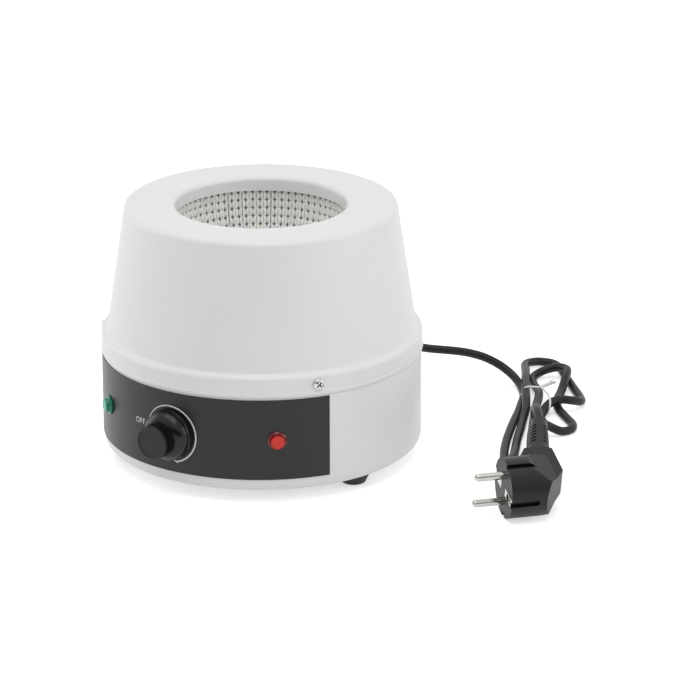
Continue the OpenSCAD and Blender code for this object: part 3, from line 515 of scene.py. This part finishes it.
def lens_plastic(name, painted_cap_glow, painted_flange_shade, angle_deg):
    """A glossy coloured lens at an angle round the drum, its cap a painted glow, its flange painted shade.
    """
    made, tree = plain_material(name)
    place = add(tree, "ShaderNodeTexCoord").outputs["Object"]
    angle = math.radians(angle_deg)
    axis = (math.sin(angle), -math.cos(angle), 0.0)
    from_axis = add(tree, "ShaderNodeVectorMath", {0: place, 1: (0, 0, lamp_z * MM)}, operation="SUBTRACT")
    from_axis = add(tree, "ShaderNodeVectorMath", {0: from_axis.outputs[0], 1: axis},
                    operation="CROSS_PRODUCT")
    from_axis = add(tree, "ShaderNodeVectorMath", {0: from_axis.outputs[0]}, operation="LENGTH")
    flange_shade_mask = add(tree, "ShaderNodeMapRange", {0: from_axis.outputs["Value"], 1: cap_r * MM,
                                              2: flange_r * MM})
    flow = add(tree, "ShaderNodeTexNoise", {"Vector": place, "Scale": per_metre(3), "Detail": 2.0})
    share = add(tree, "ShaderNodeMath", {0: flow.outputs["Fac"], 1: 0.3, 2: flange_shade_mask.outputs[0]},
                operation="MULTIPLY_ADD", use_clamp=True)
    # painted light: a bright painted glow in the cap, and painted shade towards the flange
    tint = add(tree, "ShaderNodeMix", {0: share.outputs[0], 6: linear(painted_cap_glow), 7: linear(painted_flange_shade)},
               data_type="RGBA")
    height = add(tree, "ShaderNodeBump", {"Height": flow.outputs["Fac"], "Strength": 0.1,
                                          "Distance": 0.1 * MM})
    show(tree, add(tree, "ShaderNodeBsdfPrincipled", {
        "Base Color": tint.outputs[2], "Roughness": 0.2, "Normal": height.outputs[0], "IOR": 1.58,
        "Specular IOR Level": 0.3}))
    return made


red = lens_plastic("red_polycarbonate", "#dc2a1e", "#6a0d0c", 39.1)
green = lens_plastic("green_polycarbonate", "#14ac86", "#077358", -36.5)
print("lenses:", red.name, green.name)

# %% [markdown]
# ## Metals
#
# Zinc-plated steel for the screws and nuts, nickel-plated brass for the pins and earth strips, plain
# brass for the shaft, and rolled aluminium for the pan. Rolling and turning leave fine lines, so the
# grain is a noise that is stretched along one direction. Hollows narrower than about 1.6 mm, such as
# the cross of a screw, get painted shade: the Ambient Occlusion node finds them and darkens their colour.


# %% Metals
hollow_mm = 1.6


def metal(name, colour, worn, roughness, grain_mm, stretch):
    """A metal whose grain is stretched by three factors along X, Y and Z."""
    made, tree = plain_material(name)
    place = add(tree, "ShaderNodeTexCoord").outputs["Object"]
    pulled = add(tree, "ShaderNodeVectorMath", {0: place, 1: stretch}, operation="MULTIPLY")
    grain = add(tree, "ShaderNodeTexNoise", {"Vector": pulled.outputs[0], "Scale": per_metre(grain_mm),
                                             "Detail": 4.0})
    tint = add(tree, "ShaderNodeMix", {0: grain.outputs["Fac"], 6: linear(colour), 7: linear(worn)},
               data_type="RGBA")
    rough = add(tree, "ShaderNodeMapRange", {0: grain.outputs["Fac"], 3: roughness * 0.7,
                                             4: roughness * 1.4})
    # painted shade: hollows narrower than hollow_mm, such as a screw's cross, are darkened towards #262627
    hollow = add(tree, "ShaderNodeAmbientOcclusion", {"Distance": hollow_mm * MM}, only_local=True)
    painted_hollow_shade = add(tree, "ShaderNodeMapRange", {0: hollow.outputs["AO"], 1: 0.35, 2: 0.85, 3: 1.0, 4: 0.0})
    tint = add(tree, "ShaderNodeMix", {0: painted_hollow_shade.outputs[0], 6: tint.outputs[2], 7: linear("#262627")},
               data_type="RGBA")
    height = add(tree, "ShaderNodeBump", {"Height": grain.outputs["Fac"], "Strength": 0.15,
                                          "Distance": 0.03 * MM})
    show(tree, add(tree, "ShaderNodeBsdfPrincipled", {
        "Base Color": tint.outputs[2], "Metallic": 1.0, "Roughness": rough.outputs[0],
        "Normal": height.outputs[0]}))
    return made


zinc = metal("zinc_plated_steel", "#d2d2d2", "#b6b6b5", 0.24, 0.8, (1, 1, 0.3))
nickel = metal("nickel_plated_brass", "#c8c6c2", "#a9a7a3", 0.14, 0.9, (0.25, 1, 1))
yellow_brass = metal("turned_brass", "#d8b56a", "#b8934c", 0.25, 0.8, (1, 0.3, 1))
rolled = metal("rolled_aluminium", "#d4d5d6", "#b9babc", 0.35, 1.2, (0.15, 1, 1))
print("metals:", [m.name for m in (zinc, nickel, yellow_brass, rolled)])

# %% [markdown]
# ## Inside pieces
#
# These hide under the shell, but they are part of the model: mineral wool, glass-sleeved wires, a glass
# epoxy board, ceramic terminals and ivory lamp bodies. Each gets a colour that varies and a grain.


# %% Other materials
def body_stuff(name, colour, other, roughness, cloud_mm, bump_mm):
    """A non-metal whose colour wanders between two tones, with a bump of the same cloud."""
    made, tree = plain_material(name)
    place = add(tree, "ShaderNodeTexCoord").outputs["Object"]
    cloud = add(tree, "ShaderNodeTexNoise", {"Vector": place, "Scale": per_metre(cloud_mm),
                                             "Detail": 5.0})
    tint = add(tree, "ShaderNodeMix", {0: cloud.outputs["Fac"], 6: linear(colour), 7: linear(other)},
               data_type="RGBA")
    height = add(tree, "ShaderNodeBump", {"Height": cloud.outputs["Fac"], "Strength": 0.5,
                                          "Distance": bump_mm * MM})
    show(tree, add(tree, "ShaderNodeBsdfPrincipled", {
        "Base Color": tint.outputs[2], "Roughness": roughness, "Normal": height.outputs[0]}))
    return made


wool = body_stuff("felted_mineral_wool", "#dcc99c", "#b59a63", 1.0, 2.5, 1.2)
sleeve = body_stuff("glass_fibre_sleeve", "#bb9a72", "#8a6a45", 0.8, 0.8, 0.15)
laminate = body_stuff("glass_epoxy_laminate", "#1f6a3f", "#15502e", 0.35, 4, 0.02)
epoxy = body_stuff("moulded_epoxy", "#2c2c30", "#1d1d20", 0.45, 1.5, 0.03)
copper = body_stuff("enamelled_copper_winding", "#a5562b", "#7d3a18", 0.35, 0.9, 0.2)
steatite = body_stuff("glazed_steatite", "#e9e4d8", "#d8d1c1", 0.3, 6, 0.03)
ivory = body_stuff("moulded_polyamide", "#ddd3b8", "#cfc3a3", 0.5, 3, 0.03)
print("inside materials:", [m.name for m in (wool, sleeve, laminate, epoxy, copper, steatite, ivory)])

# %% [markdown]
# ## Finishes on the CAD pieces
#
# The record names a material slot for each piece. One table turns the slots into finishes, and a few
# pieces that share a slot get a finish of their own.

# %% Give each CAD piece its finish
by_slot = {
    "white_powder_coat": coat, "panel_film": film, "black_plastic": abs_skin, "plated_steel": zinc,
    "green_lens": green, "red_lens": red, "ivory_plastic": ivory, "wire_sleeve": sleeve,
    "mineral_wool": wool, "aluminium_sheet": rolled, "brass": yellow_brass, "board_laminate": laminate,
    "ceramic": steatite, "black_rubber": rubber, "black_pvc": plug_pvc, "nickel": nickel,
}
by_node = {"choke": copper, "board_parts": epoxy, "triac": epoxy}
dressed = 0
for piece in frame["record"]["subparts"]:
    node, slot = piece["node"], piece["material_slot"]
    if slot in by_slot:
        mesh = frame["nodes"][node].data
        mesh.materials.clear()
        mesh.materials.append(by_node.get(node, by_slot[slot]))
        dressed += 1
print("CAD pieces dressed:", dressed)

# %% [markdown]
# ## The knitted bowl
#
# The flask sits in a bowl knitted from glass yarn, with the heating wire behind it. The wales of the
# knitting run down the bowl like meridians, two to each stitch, and they part at every course, which
# leaves rows of small dark holes. Two wales are drawn as one pair of curves, and Geometry Nodes turn
# that pair into yarn and set it round the axis. Towards the bottom the bowl narrows, so the knitting
# drops stitches: three zones have 75, 50 and 25 pairs, between two angles above or below the middle.

# %% Sizes of the knitting, in millimetres
bowl_centre = 150.0
bowl_r = 55.3
course = 5.2
first_course = 0.9
wale_step = 0.75
zones = [(75, 2.8, -44.0), (50, -43.0, -68.5), (25, -67.0, -84.5)]
rim_pairs, rim_top = zones[0][:2]
print("stitch width at the rim:", round(2 * math.pi * bowl_r / rim_pairs, 2), "mm")


# %% [markdown]
# ## One pair of wales
#
# Each curve runs down the meridian. The two are a quarter of the stitch to either side of its middle,
# and move apart in a narrow bump at each course. The yarn is thinner there, and lies deeper.

# %% The curve pair
def wale_pair(name, pairs, top, bottom):
    """Two wales beside the XZ plane, as one curve object with a radius at each point."""
    quarter = math.pi / pairs / 2
    steps = round(math.radians(abs(top - bottom)) * bowl_r / wale_step)
    curve = bpy.data.curves.new(name, "CURVE")
    curve.dimensions = "3D"
    for sign in (-1, 1):
        spline = curve.splines.new("POLY")
        spline.points.add(steps)
        for i, point in enumerate(spline.points):
            angle = math.radians(top + (bottom - top) * i / steps)
            down = math.radians(rim_top) - angle
            bump = (0.5 + 0.5 * math.cos(2 * math.pi * (down * bowl_r - first_course) / course)) ** 3
            r = bowl_r + 0.45 * bump - 0.15
            x = r * math.cos(angle)
            y = sign * x * quarter * (1 + 0.5 * bump)
            point.co = (x * MM, y * MM, (bowl_centre + r * math.sin(angle)) * MM, 1)
            point.radius = x * quarter * (1.02 - 0.34 * bump) * MM
    return placed(name, curve)


print("a wale at the rim is", round(bowl_r * math.pi / rim_pairs, 2), "mm wide")

# %% [markdown]
# ## The tree that knits
#
# The tree sweeps a small round profile along the curves and sets copies of the result round the Z axis.
# It also stores where each point is on its yarn, so that the material can twist its fibres round it: they
# turn by 900 radians for each metre of yarn.

# %% Geometry Nodes: yarn set round an axis
twist_rate, streak_rate = 900.0, 260.0
knit_tree = bpy.data.node_groups.new("yarn_round_axis", "GeometryNodeTree")
sockets = {}
for name, kind in (("Geometry", "Geometry"), ("Copies", "Int"), ("Sides", "Int"), ("Unevenness", "Float"),
                   ("Seed", "Int"), ("Yarn", "Material")):
    sockets[name] = knit_tree.interface.new_socket(name=name, in_out="INPUT",
                                                   socket_type="NodeSocket" + kind).identifier
knit_tree.interface.new_socket(name="Geometry", in_out="OUTPUT", socket_type="NodeSocketGeometry")
given = add(knit_tree, "NodeGroupInput").outputs
around = add(knit_tree, "GeometryNodeSplineParameter")
length = add(knit_tree, "GeometryNodeCaptureAttribute", {"Geometry": given["Geometry"]}, domain="POINT")
length.capture_items.new("FLOAT", "along")
knit_tree.links.new(around.outputs["Length"], length.inputs["along"])
profile = add(knit_tree, "GeometryNodeCurvePrimitiveCircle", {"Resolution": given["Sides"], "Radius": 1.0})
turn_of = add(knit_tree, "GeometryNodeSplineParameter")
rim = add(knit_tree, "GeometryNodeCaptureAttribute", {"Geometry": profile.outputs["Curve"]}, domain="POINT")
rim.capture_items.new("FLOAT", "around")
knit_tree.links.new(turn_of.outputs["Factor"], rim.inputs["around"])
radius = add(knit_tree, "GeometryNodeInputRadius")
swept = add(knit_tree, "GeometryNodeCurveToMesh", {
    "Curve": length.outputs["Geometry"], "Profile Curve": rim.outputs["Geometry"],
    "Scale": radius.outputs[0], "Fill Caps": True})
twist = add(knit_tree, "ShaderNodeMath", {0: length.outputs["along"], 1: twist_rate}, operation="MULTIPLY")
angle = add(knit_tree, "ShaderNodeMath", {0: rim.outputs["around"], 1: 2 * math.pi, 2: twist.outputs[0]},
            operation="MULTIPLY_ADD")
fibre = add(knit_tree, "ShaderNodeCombineXYZ", {
    "X": add(knit_tree, "ShaderNodeMath", {0: angle.outputs[0]}, operation="COSINE").outputs[0],
    "Y": add(knit_tree, "ShaderNodeMath", {0: angle.outputs[0]}, operation="SINE").outputs[0],
    "Z": add(knit_tree, "ShaderNodeMath", {0: length.outputs["along"], 1: streak_rate},
             operation="MULTIPLY").outputs[0]})
kept = add(knit_tree, "GeometryNodeStoreNamedAttribute", {
    "Geometry": swept.outputs[0], "Name": "fibre", "Value": fibre.outputs[0]},
    data_type="FLOAT_VECTOR", domain="POINT")
smooth = add(knit_tree, "GeometryNodeSetShadeSmooth", {"Geometry": kept.outputs[0]})
spots = add(knit_tree, "GeometryNodePoints", {"Count": given["Copies"]})
number = add(knit_tree, "GeometryNodeInputIndex")
share = add(knit_tree, "ShaderNodeMath", {0: number.outputs[0], 1: given["Copies"]}, operation="DIVIDE")
slip = add(knit_tree, "FunctionNodeRandomValue", {2: -1.0, 3: 1.0, 8: given["Seed"]}, data_type="FLOAT")
slip = add(knit_tree, "ShaderNodeMath", {0: slip.outputs[1], 1: given["Unevenness"]}, operation="MULTIPLY")
turn = add(knit_tree, "ShaderNodeMath", {0: share.outputs[0], 1: 2 * math.pi, 2: slip.outputs[0]},
           operation="MULTIPLY_ADD")
copies = add(knit_tree, "GeometryNodeInstanceOnPoints", {
    "Points": spots.outputs[0], "Instance": smooth.outputs[0],
    "Rotation": add(knit_tree, "ShaderNodeCombineXYZ", {"Z": turn.outputs[0]}).outputs[0]})
real = add(knit_tree, "GeometryNodeRealizeInstances", {"Geometry": copies.outputs[0]})
dyed = add(knit_tree, "GeometryNodeSetMaterial", {"Geometry": real.outputs[0], "Material": given["Yarn"]})
add(knit_tree, "NodeGroupOutput", {"Geometry": dyed.outputs[0]})
print("knit tree nodes:", len(knit_tree.nodes))

# %% [markdown]
# ## Glass yarn
#
# Spun glass filaments: off-white with a grey-beige size on them, a silky gloss along the yarn, and fine
# twisted lines. The filaments are hundredths of a millimetre thick, so they are drawn as streaks of
# about 0.3 mm that follow the twist.

# %% Glass yarn
yarn, tree = plain_material("spun_glass_yarn")
fibres = add(tree, "ShaderNodeAttribute", attribute_name="fibre").outputs["Vector"]
streak = add(tree, "ShaderNodeTexNoise", {"Vector": fibres, "Scale": 2.6, "Detail": 3.0})
place = add(tree, "ShaderNodeTexCoord").outputs["Object"]
batch = add(tree, "ShaderNodeTexNoise", {"Vector": place, "Scale": per_metre(9), "Detail": 3.0})
tint = add(tree, "ShaderNodeMix", {0: streak.outputs["Fac"], 6: linear("#e9e8e2"), 7: linear("#ffffff")},
           data_type="RGBA")
tint = add(tree, "ShaderNodeMix", {0: batch.outputs["Fac"], 6: tint.outputs[2], 7: linear("#f3f2ee")},
           data_type="RGBA")
height = add(tree, "ShaderNodeBump", {"Height": streak.outputs["Fac"], "Strength": 0.6,
                                      "Distance": 0.2 * MM})
show(tree, add(tree, "ShaderNodeBsdfPrincipled", {
    "Base Color": tint.outputs[2], "Roughness": 0.55, "Normal": height.outputs[0], "IOR": 1.55,
    "Sheen Weight": 0.3, "Sheen Roughness": 0.4}))
print(yarn.name)


# %% [markdown]
# ## Knit the three zones
#
# The modifier's inputs are set by their identifiers, then the evaluated shape is taken as a plain mesh.

# %% Run the tree
def knit(source, name, values):
    """Runs the knitting tree on a curve and returns a plain mesh object."""
    modifier = source.modifiers.new("knit", "NODES")
    modifier.node_group = knit_tree
    for label, value in values.items():
        modifier[sockets[label]] = value
    return as_mesh(source, name)


knitted = []
for number, (pairs, top, bottom) in enumerate(zones):
    pair = wale_pair(f"wales_{number}", pairs, top, bottom)
    knitted.append(knit(pair, f"knit_{number}", {"Copies": pairs, "Sides": 6, "Unevenness": 0.004,
                                                 "Seed": 5 + number, "Yarn": yarn}))
print("knit faces:", [len(part.data.polygons) for part in knitted])

# %% [markdown]
# ## The closed end
#
# At the bottom the last stitches are drawn together, and the yarn is wound flat over the hole.

# %% Coil of yarn at the bottom
end_curve = bpy.data.curves.new("knit_end", "CURVE")
end_curve.dimensions = "3D"
spline = end_curve.splines.new("POLY")
end_steps, end_r, end_turns, end_yarn_r = 96, 6.0, 3.1, 1.0
spline.points.add(end_steps)
for i, point in enumerate(spline.points):
    part = i / end_steps
    reach = end_r * (1 - part) + 0.4
    angle = part * end_turns * 2 * math.pi
    point.co = (reach * math.cos(angle) * MM, reach * math.sin(angle) * MM,
                (bowl_centre - math.sqrt((bowl_r - 0.4) ** 2 - reach ** 2)) * MM, 1)
    point.radius = end_yarn_r * MM
knit_end = placed("knit_end", end_curve)
knitted.append(knit(knit_end, "knit_end_mesh", {"Copies": 1, "Sides": 6, "Unevenness": 0.0, "Seed": 1,
                                                "Yarn": yarn}))
knit_bowl = join(knitted, "knit_yarn")
print("knitted bowl faces:", len(knit_bowl.data.polygons))

# %% [markdown]
# ## The cloth behind the knitting
#
# Behind the open knitting is the plain back of the bag, a closed bowl of dense glass cloth about 2 mm
# thick. It is a turned profile: the inner line goes down, the outer line comes back up, and the rim
# joins them, so it is one closed skin.

# %% Cloth bowl
cloth_in, cloth_out, rim_angle = 56.6, 58.4, 2.6


def solid_from(mesh, name):
    """An object from a bmesh, with its normals turned outwards."""
    bmesh.ops.recalc_face_normals(mesh, faces=mesh.faces)
    made = bpy.data.meshes.new(name)
    mesh.to_mesh(made)
    mesh.free()
    return placed(name, made)


def turned_shell(name, profile, sides):
    """A closed shell from a profile of (radius, height) whose two ends lie on the axis."""
    mesh = bmesh.new()
    rings = []
    for r, z in profile:
        if r < 1e-6:
            rings.append([mesh.verts.new((0, 0, z * MM))])
        else:
            rings.append([mesh.verts.new((r * math.cos(2 * math.pi * i / sides) * MM,
                                          r * math.sin(2 * math.pi * i / sides) * MM, z * MM))
                          for i in range(sides)])
    for low, high in zip(rings, rings[1:]):
        for i in range(sides):
            j = (i + 1) % sides
            corners = [low[i % len(low)], low[j % len(low)], high[j % len(high)], high[i % len(high)]]
            mesh.faces.new(list(dict.fromkeys(corners))).smooth = True
    return solid_from(mesh, name)


def meridian(r, low, high, steps):
    """Points of a circle about the bowl's centre, between two angles in degrees."""
    return [(r * math.cos(math.radians(low + (high - low) * i / steps)),
             bowl_centre + r * math.sin(math.radians(low + (high - low) * i / steps)))
            for i in range(steps + 1)]


inside = meridian(cloth_in, -90, rim_angle, 30)
outside = meridian(cloth_out, rim_angle, -90, 30)
inside[0], outside[-1] = (0, inside[0][1]), (0, outside[-1][1])
bag = turned_shell("glass_cloth_bag", inside + outside, 96)
print("cloth bag faces:", len(bag.data.polygons))

# %% [markdown]
# ## Dense glass cloth
#
# A plain weave of glass yarn, about 0.8 mm from thread to thread. Its threads follow the bowl, so the
# pattern is drawn on the angle round the axis and the height, and gaps between threads are darker.

# %% Material of the bag, and its place on the mantle
thread_mm, warp_threads = 0.8, 420.0
cloth, tree = plain_material("woven_glass_cloth")
place = add(tree, "ShaderNodeTexCoord").outputs["Object"]
axes = add(tree, "ShaderNodeSeparateXYZ", {0: place})
turned = add(tree, "ShaderNodeMath", {0: axes.outputs["Y"], 1: axes.outputs["X"]}, operation="ARCTAN2")
warp = add(tree, "ShaderNodeMath", {0: add(tree, "ShaderNodeMath", {0: turned.outputs[0], 1: warp_threads},
                                           operation="MULTIPLY").outputs[0]}, operation="SINE")
weft = add(tree, "ShaderNodeMath", {0: add(tree, "ShaderNodeMath", {
    0: axes.outputs["Z"], 1: 2 * math.pi / (thread_mm * MM)}, operation="MULTIPLY").outputs[0]},
    operation="SINE")
weave = add(tree, "ShaderNodeMath", {0: warp.outputs[0], 1: weft.outputs[0]}, operation="MULTIPLY")
level = add(tree, "ShaderNodeMapRange", {0: weave.outputs[0], 1: -1.0, 2: 1.0})
tint = add(tree, "ShaderNodeMix", {0: level.outputs[0], 6: linear("#a3a29c"), 7: linear("#d2d1cb")},
           data_type="RGBA")
height = add(tree, "ShaderNodeBump", {"Height": level.outputs[0], "Strength": 0.6, "Distance": 0.2 * MM})
show(tree, add(tree, "ShaderNodeBsdfPrincipled", {
    "Base Color": tint.outputs[2], "Roughness": 0.85, "Normal": height.outputs[0],
    "Sheen Weight": 0.2, "Sheen Roughness": 0.5}))
bag.data.materials.append(cloth)
for piece in (bag, knit_bowl):
    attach(piece, "mantle")
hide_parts("heating_bag")
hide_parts("heating_bag")
print("bag and knitting attached to the mantle")

# %% [markdown]
# ## Print on the panel
#
# White screen print: a line round the dial that starts at the OFF mark and ends in a small tick. Ink
# lies on the film as a skin of a few hundredths of a millimetre, so each mark is a thin closed solid
# that is bent round the drum: x becomes an angle, y the height, and z how far the ink stands out. The
# record has no slot for ink, so the print is filed under the slot of the tie, which is white as well.

# %% Ink, and a function that wraps flat marks round the drum
panel_r = 100.02
ink_skin = 0.05
ink, tree = plain_material("screen_printed_ink")
place = add(tree, "ShaderNodeTexCoord").outputs["Object"]
wear = add(tree, "ShaderNodeTexNoise", {"Vector": place, "Scale": per_metre(0.8), "Detail": 3.0})
tint = add(tree, "ShaderNodeMix", {0: wear.outputs["Fac"], 6: linear("#f0f0ee"), 7: linear("#c9c9c7")},
           data_type="RGBA")
show(tree, add(tree, "ShaderNodeBsdfPrincipled", {"Base Color": tint.outputs[2], "Roughness": 0.5}))


def wrapped(x, y, z):
    """A flat point, in millimetres from the knob's axis, laid on the drum at a height z above the film."""
    r = panel_r + z
    return Vector((r * math.sin(x / panel_r), -r * math.cos(x / panel_r), knob_z + y)) * MM


def ribbon(name, line, widths):
    """A thin closed strip along a flat line, with a width at each point."""
    mesh = bmesh.new()
    rows = []
    for i, (x, y) in enumerate(line):
        before, after = line[max(i - 1, 0)], line[min(i + 1, len(line) - 1)]
        ahead = Vector((after[0] - before[0], after[1] - before[1])).normalized()
        half = Vector((-ahead.y, ahead.x)) * widths[i] / 2
        rows.append([mesh.verts.new(wrapped(x + s * half.x, y + s * half.y, z))
                     for s, z in ((1, 0), (1, ink_skin), (-1, ink_skin), (-1, 0))])
    for a, b in zip(rows, rows[1:]):
        for i in range(4):
            mesh.faces.new((a[i], a[(i + 1) % 4], b[(i + 1) % 4], b[i]))
    mesh.faces.new(rows[0])
    mesh.faces.new(rows[-1])
    return solid_from(mesh, name)


print("ink skin:", ink_skin, "mm")

# %% The dial's line and its two marks
dial_r, dial_from, dial_to, dial_steps = 17.8, 164.0, -75.0, 120
angles = [math.radians(dial_from + (dial_to - dial_from) * i / dial_steps) for i in range(dial_steps + 1)]
dial_line = [(dial_r * math.cos(a), dial_r * math.sin(a)) for a in angles]
thin, wide, swell_steps = 0.45, 0.95, 45
dial_widths = [thin + (wide - thin) * min(1, i / swell_steps) for i in range(dial_steps + 1)]
spot_x, spot_y = dial_line[0]
marks = [ribbon("dial_line", dial_line, dial_widths),
         ribbon("dial_end", [(5.2, -17.7), (1.9, -16.4)], [1.0, 0.6]),
         ribbon("off_mark", [(spot_x - 1.1, spot_y + 0.1), (spot_x + 0.5, spot_y - 0.1)], [0.9, 0.9])]
print("dial line points:", len(dial_line))

# %% [markdown]
# ## The OFF label
#
# Generic lettering is typed with Blender's own typeface, given a little thickness and made a mesh, then
# fitted to its box and bent round the drum like the rest of the print.

# %% OFF label
letters = bpy.data.curves.new("off_label", "FONT")
letters.body = "OFF"
letters.extrude = 0.01
letters.space_character = 1.05
label = as_mesh(placed("off_text", letters), "off_label")
label_box = ((-28.8, -20.4), (1.2, 4.7), (0, ink_skin))
typed = list(zip(*(v.co for v in label.data.vertices)))
spans = [(min(values), max(values)) for values in typed]
for v in label.data.vertices:
    v.co = wrapped(*(to_low + (value - low) / (high - low) * (to_high - to_low)
                     for value, (low, high), (to_low, to_high) in zip(v.co, spans, label_box)))
print_piece = join(marks + [label], "panel_print")
print_piece.data.materials.clear()
print_piece.data.materials.append(ink)
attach(print_piece, "mantle")
print("print faces:", len(print_piece.data.polygons))
